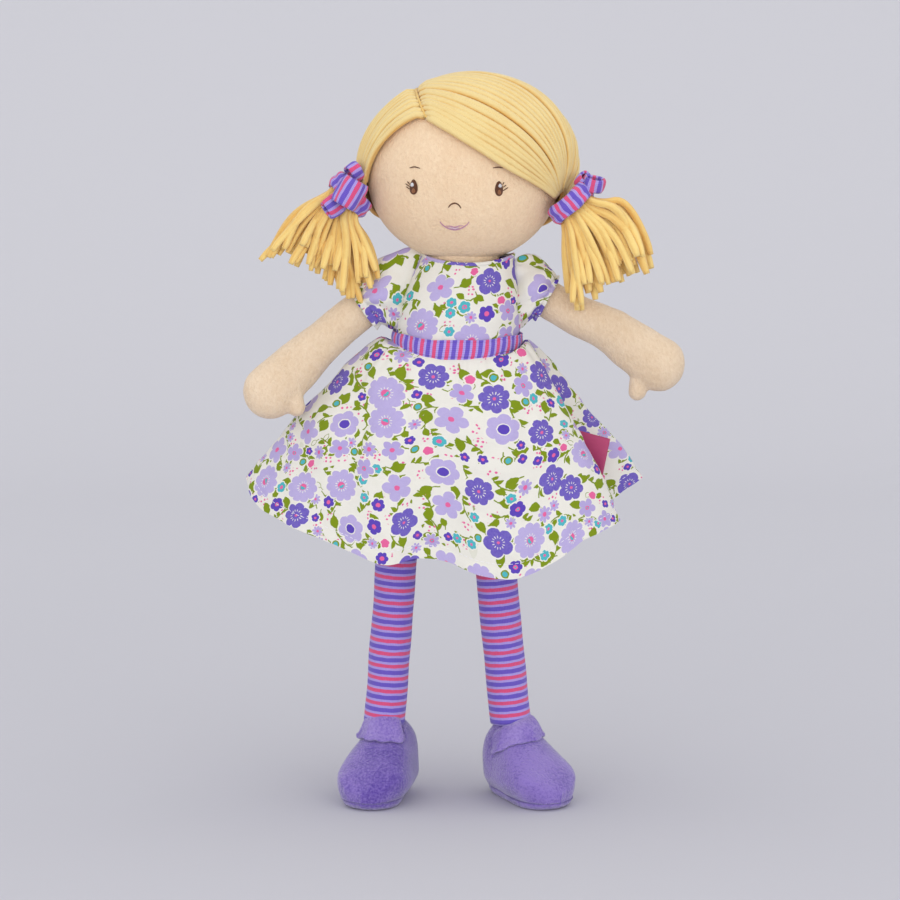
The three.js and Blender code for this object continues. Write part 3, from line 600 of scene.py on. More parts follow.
def embroidery(name, base, light):
    """Satin stitch: close shiny threads side by side, each painted lighter along its crown as a highlight,
    and varied at random.
    """
    g = Graph(name, roughness=0.5, sheen=0.1)
    _, v, _ = g.parts(g.flat())
    thread = g.math("SINE", g.times(v, FULL_TURN / 0.00042))
    tone = g.span(g.sum(thread, g.noise(g.place(), 1500.0, 2.0)), -1.0, 2.0, 0.0, 1.0)
    return g.finish(g.mix(tone, colour(base), colour(light)), g.bump(thread, 0.00012, 0.8))


class Motifs:
    """Scattered motifs of a print: one for each cell of a loose grid, in millimetres."""

    def __init__(self, g, plan, cell, loose, seed):
        self.g, self.cell, self.loose, self.seed = g, cell, loose, seed
        scaled, cells = self.cells(plan)
        away = g.node("ShaderNodeVectorMath", operation="SUBTRACT")
        g.put(away.inputs[0], scaled)
        g.put(away.inputs[1], cells.outputs["Position"])
        x, y, _ = g.parts(g.scaled(away.outputs[0], cell))
        back = (-seed * cell, -seed * 1.7 * cell, 0.0)
        self.centre = g.scaled(cells.outputs["Position"], cell, back)
        split = g.node("ShaderNodeSeparateColor")
        g.put(split.inputs[0], cells.outputs["Color"])
        self.kind, self.spin, self.size = split.outputs[0], split.outputs[1], split.outputs[2]
        self.rho = g.math("SQRT", g.sum(g.times(x, x), g.times(y, y)))
        self.phi = g.sum(g.math("ARCTAN2", y, x), g.times(self.spin, FULL_TURN))
        self.x = g.times(self.rho, g.math("COSINE", self.phi))
        self.y = g.times(self.rho, g.math("SINE", self.phi))

    def cells(self, plan):
        g = self.g
        scaled = g.scaled(plan, 1.0 / self.cell, (self.seed, self.seed * 1.7, 0.0))
        cells = g.node("ShaderNodeTexVoronoi", voronoi_dimensions="2D", feature="F1")
        g.put(cells.inputs["Vector"], scaled)
        cells.inputs["Scale"].default_value = 1.0
        cells.inputs["Randomness"].default_value = self.loose
        return scaled, cells

    def clear_of(self, other, reach):
        """1 where this motif's own middle is at least so far from the other kind's middles."""
        g = self.g
        _, cells = other.cells(self.centre)
        return g.step(g.times(cells.outputs["Distance"], other.cell), reach, reach + 0.05)

    def flower(self, petals, reach, depth, soft=0.12):
        """1 inside a flower with so many petals."""
        g = self.g
        turn = g.math("ABSOLUTE", g.math("COSINE", g.times(self.phi, g.times(petals, 0.5))))
        edge = g.times(reach, g.sum(g.less(1.0, depth), g.times(depth, g.math("POWER", turn, 0.55))))
        return g.step(g.less(edge, self.rho), -soft, soft)

    def on_cloth(self, color, there, form, margin, petal_colour):
        """The cloth's colour with a flower on it, set off by a bare margin."""
        g = self.g
        petals, reach, depth = form
        petals, reach = g.times(petals, 10.0), g.times(reach, 10.0)
        halo = self.flower(petals, g.sum(reach, margin), depth)
        color = g.mix(g.times(there, halo), color, colour(GROUND))
        return g.mix(g.times(there, self.flower(petals, reach, depth)), color, petal_colour)

    def disc(self, reach, soft=0.12):
        g = self.g
        return g.step(g.less(reach, self.rho), -soft, soft)

    def ring(self, low, high, soft=0.12):
        g = self.g
        return g.times(self.disc(high, soft), g.less(1.0, self.disc(low, soft)))

    def rays(self, count, low, high, width=0.26):
        """Short dashes that point out from the middle."""
        g = self.g
        around = g.math("ABSOLUTE", g.math("SINE", g.times(self.phi, count * 0.5)))
        thin = g.times(g.times(around, self.rho), 2.0 / count)
        return g.times(g.step(g.less(width, thin), -0.08, 0.08), self.ring(low, high))

    def turned(self, shift, rise, tilt):
        """Places measured from a point of the motif, along a line tilted from its own."""
        g = self.g
        x, y = g.less(self.x, shift), g.less(self.y, rise)
        cos, sin = math.cos(tilt), math.sin(tilt)
        return (g.sum(g.times(x, cos), g.times(y, sin)), g.less(g.times(y, cos), g.times(x, sin)))

    def leaf(self, length, width, shift=0.0, rise=0.0, tilt=0.0, bend=0.06, hollow=0.0):
        """A pointed leaf, or only its outline."""
        g = self.g
        x, y = self.turned(shift, rise, tilt)
        y = g.math("ABSOLUTE", g.less(y, g.times(g.times(x, x), bend)))
        share = g.math("DIVIDE", x, length)
        edge = g.times(width, g.less(1.0, g.times(share, share)))
        inside = g.step(g.less(edge, y), -0.1, 0.1)
        if hollow:
            inside = g.times(inside, g.less(1.0, g.step(g.less(g.less(edge, hollow), y), -0.08, 0.08)))
        return inside

    def stem(self, low, high, width=0.25, bend=0.06):
        g = self.g
        y = g.less(self.y, g.times(g.times(self.x, self.x), bend))
        line = g.step(g.less(width, g.math("ABSOLUTE", y)), -0.08, 0.08)
        ends = g.times(g.step(self.x, low, low + 0.2), g.less(1.0, g.step(self.x, high - 0.2, high)))
        return g.times(line, ends)

    def most(self, *shapes):
        whole = shapes[0]
        for shape in shapes[1:]:
            whole = self.g.math("MAXIMUM", whole, shape)
        return whole


def kinds(g, value, entries):
    """Three numbers of each kind of motif: entries are (from, (a, b, c)), each number under 1."""
    split = g.node("ShaderNodeSeparateColor")
    g.put(split.inputs[0], g.steps(value, entries))
    return tuple(split.outputs)


def printed_cotton():
    """Ditsy floral print on white cotton: motifs of several sizes that keep clear of one another."""
    g = Graph("printed_cotton", roughness=0.85, sheen=0.06)
    waver = g.scaled(g.noise(g.flat(), 600.0, 1.0, color=True), 0.0008, (-0.0004, -0.0004, 0.0))
    shifted = g.node("ShaderNodeVectorMath", operation="ADD")
    g.put(shifted.inputs[0], g.flat())
    g.put(shifted.inputs[1], waver)
    plan = g.scaled(shifted.outputs[0], 1000.0)
    color = g.mix(g.noise(g.flat(), 60.0, 2.0), colour(GROUND), colour(GROUND_SHADE))
    big = Motifs(g, plan, 27.5, 0.6, 0.4)
    middle = Motifs(g, plan, 16.0, 0.5, 6.8)
    small = Motifs(g, plan, 8.8, 0.5, 7.3)
    blade = Motifs(g, plan, 14.5, 0.3, 1.9)
    leaf = Motifs(g, plan, 9.4, 0.3, 4.3)

    dots = Motifs(g, plan, 2.5, 0.5, 3.1)
    cluster = Motifs(g, plan, 11.5, 0.7, 9.4)
    near = g.times(cluster.disc(3.2, 0.4), g.step(cluster.kind, 0.4, 0.41))
    near = g.times(near, g.times(dots.clear_of(big, 9.2), dots.clear_of(middle, 4.6)))
    color = g.mix(g.times(dots.disc(0.66, 0.1), near), color, colour(PRINT_PINK))

    leaflet = Motifs(g, plan, 5.6, 0.4, 5.7)
    seen = g.times(g.step(leaflet.kind, 0.45, 0.46), leaflet.clear_of(cluster, 3.6))
    seen = g.times(seen, g.times(leaflet.clear_of(big, 9.6), leaflet.clear_of(middle, 4.8)))
    seen = g.times(seen, g.times(leaflet.clear_of(blade, 5.6), leaflet.clear_of(leaf, 4.0)))
    color = g.mix(g.times(leaflet.leaf(1.5, 0.72, bend=0.22), seen), color, colour(PRINT_OLIVE))

    sprig = Motifs(g, plan, 19.0, 0.35, 2.6)
    twig = sprig.most(
        sprig.stem(-7.4, 6.8, 0.4, 0.04), sprig.leaf(2.6, 1.25, -3.8, 2.1, 0.75, 0.1),
        sprig.leaf(2.6, 1.2, 0.6, -1.6, -0.75, -0.1), sprig.leaf(3.0, 1.4, 3.9, 2.6, 0.7, 0.1),
        sprig.leaf(2.0, 1.0, -6.6, 3.2, 0.9, 0.1),
    )
    color = g.mix(twig, color, colour(PRINT_OLIVE))

    full = g.math("MAXIMUM", leaf.leaf(2.9, 1.8, bend=0.05), leaf.stem(-4.6, -2.4, 0.34, 0.05))
    outline = leaf.most(leaf.leaf(2.7, 1.7, bend=0.03, hollow=0.42), leaf.stem(-4.4, -2.6, 0.26, 0.04))
    hollow = g.step(leaf.kind, 0.76, 0.77)
    shape = g.sum(g.times(full, g.less(1.0, hollow)), g.times(outline, hollow))
    free = g.times(g.times(leaf.clear_of(big, 9.6), leaf.clear_of(middle, 4.6)), leaf.clear_of(blade, 6.4))
    color = g.mix(g.times(shape, free), color, colour(PRINT_OLIVE))

    whole = g.math("MAXIMUM", blade.leaf(4.4, 2.6, bend=0.05), blade.stem(-7.4, -3.8, 0.42, 0.05))
    lobe = g.times(blade.leaf(2.6, 1.7, -0.6, 2.0, 0.7), g.step(blade.spin, 0.75, 0.76))
    lobed = g.math("MAXIMUM", whole, lobe)
    free = g.times(blade.clear_of(big, 8.8), g.step(blade.kind, 0.15, 0.16))
    color = g.mix(g.times(lobed, free), color, colour(PRINT_OLIVE))

    petals, reach, depth = kinds(g, small.kind, [
        (0.0, (0.6, 0.29, 0.24)), (0.2, (0.5, 0.27, 0.32)), (0.36, (0.5, 0.26, 0.18)),
        (0.48, (0.8, 0.33, 0.6)), (0.66, (0.4, 0.28, 0.3)), (0.84, (0.1, 0.24, 0.0)),
    ])
    petal_colour = g.steps(small.kind, [
        (0.0, srgb(PRINT_TEAL)), (0.2, srgb(PRINT_VIOLET)), (0.36, srgb(PRINT_PINK)),
        (0.48, srgb(PRINT_LILAC)), (0.66, srgb(PRINT_VIOLET)), (0.84, srgb(PRINT_OLIVE)),
    ])
    heart = g.steps(small.kind, [(0.0, srgb(PRINT_PINK)), (0.84, srgb(PRINT_TEAL))])
    there = g.times(small.clear_of(big, 11.2), small.clear_of(middle, 6.6))
    color = small.on_cloth(color, there, (petals, reach, depth), 0.7, petal_colour)
    core = g.math("MAXIMUM", small.disc(0.8), g.times(small.disc(1.5), g.step(small.kind, 0.84, 0.85)))
    color = g.mix(g.times(core, there), color, heart)

    petals, reach, depth = kinds(g, middle.kind, [
        (0.0, (0.5, 0.60, 0.48)), (0.26, (0.5, 0.46, 0.26)), (0.48, (0.8, 0.46, 0.56)),
        (0.7, (0.6, 0.38, 0.26)), (0.86, (0.5, 0.34, 0.22)),
    ])
    petal_colour = g.steps(middle.kind, [
        (0.0, srgb(PRINT_LILAC)), (0.26, srgb(PRINT_VIOLET)), (0.48, srgb(PRINT_LILAC)),
        (0.7, srgb(PRINT_VIOLET)), (0.86, srgb(PRINT_TEAL)),
    ])
    there = middle.clear_of(big, 13.6)
    color = middle.on_cloth(color, there, (petals, reach, depth), 0.8, petal_colour)
    color = g.mix(g.times(middle.disc(1.3), there), color, colour(PRINT_PINK))
    pale = g.times(middle.disc(0.6), g.step(middle.spin, 0.5, 0.51))
    color = g.mix(g.times(pale, there), color, colour(PRINT_TEAL))

    entries = [0.0, 0.24, 0.46, 0.64, 0.82]
    petals, reach, depth = kinds(g, big.kind, list(zip(entries, (
        (0.7, 0.80, 0.26), (0.95, 0.98, 0.2), (0.6, 0.84, 0.24), (0.5, 0.84, 0.46), (0.5, 0.86, 0.3)))))
    petals, reach = g.times(petals, 10.0), g.times(reach, 10.0)
    petals = g.math("ROUND", petals)
    violet, lilac, pink = srgb(PRINT_VIOLET), srgb(PRINT_LILAC), srgb(PRINT_PINK)
    petal_colour = g.steps(big.kind, list(zip(entries, (violet, lilac, lilac, lilac, violet))))
    heart = g.steps(big.kind, list(zip(entries, (pink, pink, violet, pink, pink))))
    heart_reach, ringed, rayed = kinds(g, big.kind, list(zip(entries, (
        (0.09, 0.0, 1.0), (0.21, 0.0, 1.0), (0.27, 1.0, 0.0), (0.15, 0.0, 0.0), (0.08, 0.0, 1.0)))))
    heart_reach = g.times(heart_reach, 10.0)
    petal_shade = g.mix(g.times(g.noise(plan, 0.9, 2.0), 0.12), petal_colour, colour(BRIGHT))
    color = g.mix(big.flower(petals, g.sum(reach, 1.0), depth), color, colour(GROUND))
    color = g.mix(big.flower(petals, reach, depth), color, petal_shade)
    color = g.mix(g.times(big.rays(13, 2.5, 3.8, 0.2), rayed), color, colour(GROUND))
    color = g.mix(g.times(big.disc(g.sum(heart_reach, 0.6), 0.1), ringed), color, colour(GROUND))
    color = g.mix(big.disc(heart_reach), color, heart)
    half = g.times(g.less(1.0, ringed), g.step(big.x, -0.1, 0.1))
    two_toned = g.times(g.step(heart_reach, 2.0, 2.05), half)
    color = g.mix(g.times(two_toned, big.disc(1.7)), color, colour(PRINT_TEAL))

    u, v, _ = g.parts(g.flat())
    weave = g.times(g.math("SINE", g.times(u, FULL_TURN / WEAVE_PERIOD)),
                    g.math("SINE", g.times(v, FULL_TURN / WEAVE_PERIOD)))
    creases = g.noise(g.flat(), 55.0, 3.0, 0.5)
    slub = g.noise(g.scaled(g.flat(), (0.1, 1.0, 1.0)), 1500.0, 2.0)
    shade = g.span(g.sum(weave, slub), -0.5, 1.5, 0.92, 1.02)
    color = g.mix(1.0, color, g.join(shade, shade, shade), "MULTIPLY")
    soft = g.bump(creases, 0.0026, 0.45)
    return g.finish(color, g.bump(weave, 0.00006, 0.5, soft))


def plain_thread(name, base):
    g = Graph(name, roughness=0.7, sheen=0.1)
    place = g.place()
    strand = g.noise(place, 2600.0, 2.0)
    tone = g.span(strand, 0.3, 0.7, 0.0, 0.4)
    color = g.mix(g.times(tone, 0.5), colour(base), colour(BRIGHT))
    return g.finish(color, g.bump(strand, 0.0001, 0.6))


def make_materials():
    return {
        **{key: velour(f"{key}_velour", **look) for key, look in VELOURS.items()},
        "stripes": jersey_stripes(),
        "hair": hair_jersey("hair_jersey", HAIR, HAIR_CREVICE_SHADE),
        "bunch": hair_jersey("bunch_jersey", BUNCH, BUNCH_CREVICE_SHADE),
        "hair_base": hair_jersey("hair_base_jersey", HAIR_GAP_SHADE, HAIR_GAP_SHADE_DEEP),
        "print": printed_cotton(),
        "label": satin("label_satin", LABEL, LABEL_GLINT),
        "thread": embroidery("eye_thread", EYE_BROWN, EYE_BROWN_SHINE),
        "iris": embroidery("iris_thread", IRIS, IRIS_SHINE),
        "white": embroidery("white_thread", EYE_WHITE, BRIGHT),
        "lips": embroidery("lip_thread", LIPS, LIPS_SHINE),
        "lip_glow": embroidery("pale_lip_thread", PALE_LIPS, PALE_LIPS_SHINE),
        "stitch": plain_thread("cotton_stitch", STITCH),
        "shoe_seam": plain_thread("shoe_seam_thread", SHOE_SEAM),
    }


def dress_up(piece, material, body, slot, *nodes):
    """Gives a piece its material and its body, and hides the CAD nodes that it stands for. The slot is not
    used.
    """
    piece.data.materials.clear()
    piece.data.materials.append(material)
    if body:
        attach(piece, body)
    if nodes:
        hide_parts(*nodes)
    return piece


# Head and face
EGG_FINENESS = 6
HEAD_HALF = np.array((0.053, 0.041, 0.0485))
head_low, head_high = node_box("head")
HEAD_CENTRE = np.array(((head_low[0] + head_high[0]) / 2, (head_low[1] + head_high[1]) / 2,
                        head_high[2] - HEAD_HALF[2]))


def egg(name, centre, half):
    """A round stuffed shape with evenly spread points."""
    mesh = bpy.data.meshes.new(name)
    ball = bmesh.new()
    bmesh.ops.create_icosphere(ball, subdivisions=EGG_FINENESS, radius=1.0)
    for vertex in ball.verts:
        vertex.co = Vector(np.array(vertex.co) * half + centre)
    ball.to_mesh(mesh)
    ball.free()
    smooth_shaded(mesh)
    return placed(name, mesh)


def on_face(px, py, grow=0.0):
    """Point of the head's front that shows at a place in the 900-pixel photograph."""
    scale = CAMERA_LENS / SENSOR_WIDTH * PHOTO_SIZE
    centre = PHOTO_SIZE / 2
    back = np.array(CAMERA_BACK)
    up = np.array((0, math.sin(CAMERA_ELEVATION), math.cos(CAMERA_ELEVATION)))
    eye = np.array(CAMERA_AIM) + back * CAMERA_DISTANCE
    aim = -back + np.array((1, 0, 0)) * (px - centre) / scale - up * (py - centre) / scale
    start, run = (eye - HEAD_CENTRE) / (HEAD_HALF + grow), aim / (HEAD_HALF + grow)
    a, b, c = run @ run, 2 * start @ run, start @ start - 1
    reach = (-b - math.sqrt(max(b * b - 4 * a * c, 0))) / (2 * a)
    return eye + aim * reach


def head_normal(point):
    return unit((point - HEAD_CENTRE) / HEAD_HALF**2)


def stitched_line(fabric, pixels, radius, rise=0.0002, count=14):
    """A thread laid on the face along a few places in the photograph."""
    line = curve_points([on_face(x, y, rise) for x, y in pixels], count)
    ends = np.sin(np.linspace(0.12, math.pi - 0.12, count)) ** 0.35
    normals = head_normal(line)
    fabric.body(tube_rows(line, radius * ends, radius * 0.7 * ends, 8, normals))


def stitched_patch(fabric, centre_px, half_px, rise):
    """An oval of satin stitch on the face, crowned in its middle and narrower at its top."""

    def place(ring, turn):
        x = math.cos(turn) * half_px[0] * ring
        y = math.sin(turn) * half_px[1] * ring
        narrow = 1 - PATCH_TAPER * (y / half_px[1])
        lift = rise * (1 - ring**2) + PATCH_LIFT
        return on_face(centre_px[0] + x * narrow, centre_px[1] - y, lift)

    fabric.add(grid(np.linspace(1, 0.02, 7), turns_round(28), place), True, caps=(False, True))


PATCH_TAPER = 0.22
PATCH_LIFT = 0.0001
EYE_RISE = 0.0007
IRIS_RISE = 0.0011
GLINT_RISE = 0.0014
LIP_GLOW_RISE = 0.0004
LASH_RADIUS = 0.00028
BROW_RADIUS = 0.00032
NOSE_RADIUS = 0.0004
SMILE_RADIUS = 0.00042
UPPER_LIP_RADIUS = 0.00036

# Places and half-sizes on the face, in pixels of the photograph
EYE_HALF = (4.0, 7.6)
IRIS_HALF = (2.2, 3.3)
GLINT_HALF = (2.0, 2.5)
BROWS = (
    [(409.5, 167.9), (414.4, 166.9), (420.0, 168.3)],
    [(493.0, 167.9), (498.2, 167.3), (503.0, 167.9)],
)
NOSE = [(448.2, 207.6), (450.9, 204.6), (455.1, 203.2), (459.0, 205.2), (461.0, 208.4)]
SMILE = [
    (439.8, 221.5), (442.2, 224.6), (445.8, 227.2), (450.2, 229.0), (455.0, 229.8),
    (459.8, 228.8), (464.0, 226.8), (467.2, 224.4), (469.2, 221.8),
]
UPPER_LIP = [(446.0, 226.0), (450.4, 226.2), (454.8, 227.2), (459.0, 226.0), (463.4, 225.6)]
LIP_GLOW = [(448.4, 227.8), (452.0, 228.0), (455.0, 228.6), (459.0, 227.6)]
EYES = (
    {"at": (413.6, 187.0), "glint": (-1.3, -2.2), "iris": (-0.2, 3.2),
     "lashes": ((-3.6, -2.4, -6.5, -5.6), (-4.0, -0.4, -8.1, -3.4), (-4.0, 2.0, -7.7, -0.4))},
    {"at": (499.0, 188.6), "glint": (1.0, -2.8), "iris": (0.4, 3.2),
     "lashes": ((3.6, -4.0, 5.2, -6.4), (4.0, -1.2, 7.3, -3.6), (3.6, 2.4, 9.3, -1.2))},
)


def make_face(materials):
    outline, iris, white, lips, glow, fine = (Fabric() for _ in range(6))
    for eye in EYES:
        x, y = eye["at"]
        stitched_patch(outline, (x, y), EYE_HALF, EYE_RISE)
        stitched_patch(iris, (x + eye["iris"][0], y + eye["iris"][1]), IRIS_HALF, IRIS_RISE)
        stitched_patch(white, (x + eye["glint"][0], y + eye["glint"][1]), GLINT_HALF, GLINT_RISE)
        for from_x, from_y, to_x, to_y in eye["lashes"]:
            stitched_line(fine, [(x + from_x, y + from_y), (x + to_x, y + to_y)], LASH_RADIUS, count=6)
    for brow in BROWS:
        stitched_line(fine, brow, BROW_RADIUS)
    stitched_line(fine, NOSE, NOSE_RADIUS)
    stitched_line(lips, SMILE, SMILE_RADIUS, count=40)
    stitched_line(lips, UPPER_LIP, UPPER_LIP_RADIUS, count=24)
    stitched_line(glow, LIP_GLOW, SMILE_RADIUS, LIP_GLOW_RISE)
    for fabric, name, look in (
        (outline, "eye_outlines", "thread"), (iris, "eye_irises", "iris"),
        (white, "eye_highlights", "white"), (lips, "mouth_stitches", "lips"),
        (glow, "mouth_highlight", "lip_glow"), (fine, "brow_nose_lash_stitches", "thread"),
    ):
        dress_up(fabric.make(name), materials[look], "head", "skin_velour")


def make_head(materials):
    head = egg("head_velour", HEAD_CENTRE, HEAD_HALF)
    for vertex in head.data.vertices:
        point = np.array(vertex.co)
        away = unit((point - HEAD_CENTRE) / HEAD_HALF)
        vertex.co = Vector(point + away * 0.0004 * wrinkle(point, 0.022, 3.0))
    dress_up(head, materials["skin"], "head", "skin_velour", "head")
    make_face(materials)


NECK_HALF_WIDTH = 0.019
NECK_HALF_DEPTH = 0.0148
NECK_SPREAD = 0.002
NECK_ABOVE_BODY = 0.0008
NECK_BELOW_TOP = 0.004


def make_neck(materials):
    neck_low, neck_high = node_box("neck")
    middle = (neck_low + neck_high) / 2
    body_top = node_box("torso")[1][2]
    heights = np.linspace(body_top + NECK_ABOVE_BODY, neck_high[2] - NECK_BELOW_TOP, 16)

    def place(height, turn):
        share = (height - heights[0]) / (heights[-1] - heights[0])
        spread = NECK_SPREAD * smooth(0.1, 0.6, share)
        wide, deep = NECK_HALF_WIDTH + spread, NECK_HALF_DEPTH + spread
        return (middle[0] + wide * math.cos(turn), middle[1] + deep * math.sin(turn), height)

    rows = grid(heights, turns_round(40), place)
    neck = Fabric().body(lumpy(rows, 0.008, 0.0004, 1.0)).make("neck_velour")
    dress_up(neck, materials["skin"], "neck", "skin_velour", "neck")


# Hair
PARTING_SHARES = ((-0.36, -0.73, 0.58), (-0.46, -0.2, 0.86), (-0.4, 0.4, 0.82),
                  (-0.22, 0.86, 0.46), (-0.05, 0.99, -0.02), (0, 0.87, -0.48))
BUNCH_DIRECTIONS = {"right": (-0.94, -0.2, -0.27), "left": (0.9, -0.34, -0.27)}
FRONT_BOW = {"right": -0.09, "left": 0.19}
FRONT_BOW_SHARE = {"right": 0.5, "left": 0.6}
FRONT_BOW_LEAD = {"right": 0.5, "left": 1}
BUNCH_RADIUS = 0.0095
BUNCH_LIFT = {"right": 0.0005, "left": 0.006}
HAIR_STRIPS = {"right": 36, "left": 46}
HAIR_TOP = 0.0057
PARTING_GAP = 0.00045
STRIP_SIDES = 12
HAIR_BASE_LIFT = 0.0022
HAIR_BASE_THICKNESS = 0.0006
PARTING_SEAM_LIFT = 0.0028
STRIP_HALF_RANGE = (0.0013, 0.0029)
STRIP_DEEP_RANGE = (0.0014, 0.0021)
STRIP_DIP = 0.0028
STRIP_SWAY = 0.0007


def hair_direction(side, across, down):
    """Direction from the head's middle to the hair at shares across the strips and down them."""
    start = unit(catmull(PARTING_SHARES, across))
    end = unit(BUNCH_DIRECTIONS[side])
    sideways = unit(np.cross(start, end)) * -SIGN[side]
    angle = math.acos(float(np.clip(start @ end, -1, 1)))
    first = PARTING_GAP / HEAD_HALF[0]
    share = first + (1 - BUNCH_RADIUS / HEAD_HALF[0] / angle - first) * down
    run = unit(start * math.sin((1 - share) * angle) + end * math.sin(share * angle))
    bow = FRONT_BOW[side] * max(1 - across / FRONT_BOW_SHARE[side], 0)
    return unit(run + sideways * bow * math.sin(share ** FRONT_BOW_LEAD[side] * math.pi))


def hair_lift(side, across, down):
    return BUNCH_LIFT[side] * math.sin(down**2 * math.pi) * math.sin(across * math.pi)


def with_painted_shade(piece, depth):
    """Stores how deep each point lies between its neighbours, for the jersey's painted shade."""
    layer = piece.data.attributes.new("depth", "FLOAT", "POINT")
    layer.data.foreach_set("value", np.asarray(depth, np.float32))


def make_hair(materials):
    rng = random.Random(7)
    turns = turns_round(STRIP_SIDES)
    for side in SIDES:
        fabric, painted_shade_depths = Fabric(), []
        strips = HAIR_STRIPS[side]
        shares = [(k + 0.5 + rng.uniform(-0.22, 0.22)) / strips for k in range(strips)]
        downs = np.linspace(0, 1.04, 36)
        lines = np.array([[hair_direction(side, across, down) for down in downs] for across in shares])
        spots = HEAD_CENTRE + lines * HEAD_HALF
        gaps = np.linalg.norm(np.diff(spots, axis=0), axis=2)
        room = np.concatenate([gaps[:1], (gaps[1:] + gaps[:-1]) / 2, gaps[-1:]])
        for index, across in enumerate(shares):
            thin = 1 - 0.3 * smooth(0.8, 0.95, across)
            half = np.clip(room[index] * 0.68, *STRIP_HALF_RANGE) * thin
            deep = np.clip(half * 0.95, *STRIP_DEEP_RANGE) * thin
            rise = HAIR_TOP * thin - deep + rng.uniform(-0.0009, 0.0001)
            dip = STRIP_DIP * (1 - smooth(0, 0.05, downs))
            lift = np.array([hair_lift(side, across, min(d, 1)) for d in downs])
            line = HEAD_CENTRE + lines[index] * (HEAD_HALF + (rise + lift - dip)[:, None])
            sway = np.array([STRIP_SWAY * wrinkle((index * 7.0, d * 4.0, 0), 1.0, 2.0) for d in downs])
            line = line + unit(np.cross(np.gradient(line, axis=0), lines[index])) * sway[:, None]
            half = half * (0.65 + 0.35 * smooth(0, 0.05, downs))
            fabric.body(tube_rows(line, half, deep, STRIP_SIDES, lines[index]))
            # Painted shade: darker on the strip's sides and underside than on its outward top, and near the
            # parting and the bunch where it tucks in.
            depth = np.clip(1.02 - 1.3 * np.sin(turns), 0, 1) * rng.uniform(0.55, 1.0)
            near_end = 0.08 * smooth(0.86, 1.04, downs) + 0.12 * (1 - smooth(0.0, 0.03, downs))
            painted_shade_depths.append(np.clip(depth[None] + near_end[:, None], 0, 1).ravel())
        piece = fabric.make(f"hair_strips_{side}")
        with_painted_shade(piece, np.concatenate(painted_shade_depths))
        dress_up(piece, materials["hair"], "head", "hair_jersey", f"hair_{side}")

        # This sheet shows only in the gaps between strips; its deeper gold is painted shade there.
        base, rows = Fabric(), []
        for across in np.linspace(0.012, 0.988, 34):
            under = HAIR_BASE_LIFT - 0.0008 * smooth(0.8, 0.95, across)
            rows.append([HEAD_CENTRE + hair_direction(side, across, d) * (
                HEAD_HALF + under + hair_lift(side, across, d)) for d in np.linspace(0.01, 0.97, 26)])
        base.shell(np.array(rows), HAIR_BASE_THICKNESS)
        dress_up(base.make(f"hair_base_{side}"), materials["hair_base"], "head", "hair_jersey")

    line = [HEAD_CENTRE + unit(catmull(PARTING_SHARES, s)) * (HEAD_HALF + PARTING_SEAM_LIFT)
            for s in np.linspace(0, 1, 60)]
    out = unit(np.array(line) - HEAD_CENTRE)
    seam = Fabric().body(tube_rows(line, 0.0007, 0.0006, 8, out))
    dress_up(seam.make("hair_parting_seam"), materials["hair_base"], "head", "hair_jersey")


BUNCH_AIMS = {"right": (-0.75, -0.08, -0.66), "left": (0.66, -0.14, -0.74)}
BUNCH_LENGTH = {"right": 0.056, "left": 0.055}
BUNCH_FAN = {"right": (-86, 24), "left": (-108, 34)}
BUNCH_FALL = {"right": 1.0, "left": 2.9}
BUNCH_STRIPS = {"right": 66, "left": 60}
LOOSE_RADIUS = {"right": 0.00185, "left": 0.0020}
BUNCH_LENGTHS = {
    "right": ((-1, 0.84), (-0.75, 0.96), (-0.4, 0.98), (-0.1, 0.84), (0.3, 0.82), (0.7, 0.92), (1, 1.04)),
    "left": ((-1, 1.0), (-0.6, 0.98), (-0.2, 0.9), (0.2, 0.84), (0.6, 0.92), (1, 0.95)),
}
ROOT_RADIUS = 0.0092
BUNCH_OPEN = 0.3
BUNCH_SEED = {"right": 11, "left": 23}
LAYER_GAP = 0.0029
STRIP_CURL = 0.008
STRIP_TWIST = 0.32
STRIP_STEPS = 28


def strip_route(side, fan, layer, length, curl, twist):
    """Middle of a loose strip: out of the tie, round to its place in the fan, then falling."""
    aim = unit(BUNCH_AIMS[side])
    across = unit(np.cross((0, 1, 0), aim))
    deep = np.cross(aim, across)
    first, last = np.radians(BUNCH_FAN[side])
    place = joint_place(f"bunch_swing_{side}") + across * fan * ROOT_RADIUS * 0.95
    line = []
    for step in range(STRIP_STEPS):
        share = step / (STRIP_STEPS - 1)
        apart = layer * (0.55 + 1.5 * share) * LAYER_GAP + curl * math.sin(share * math.pi * 1.4) * 0.5
        line.append(place + deep * apart)
        turn = (first + (last - first) * (fan + 1) / 2) * min(share / BUNCH_OPEN, 1)
        turn += twist * math.sin(share * math.pi * 1.8)
        heading = aim * math.cos(turn) + across * math.sin(turn)
        heading = heading - np.array((0, 0, BUNCH_FALL[side] * share))
        place = place + unit(heading) * length / (STRIP_STEPS - 1)
    return np.array(line), deep


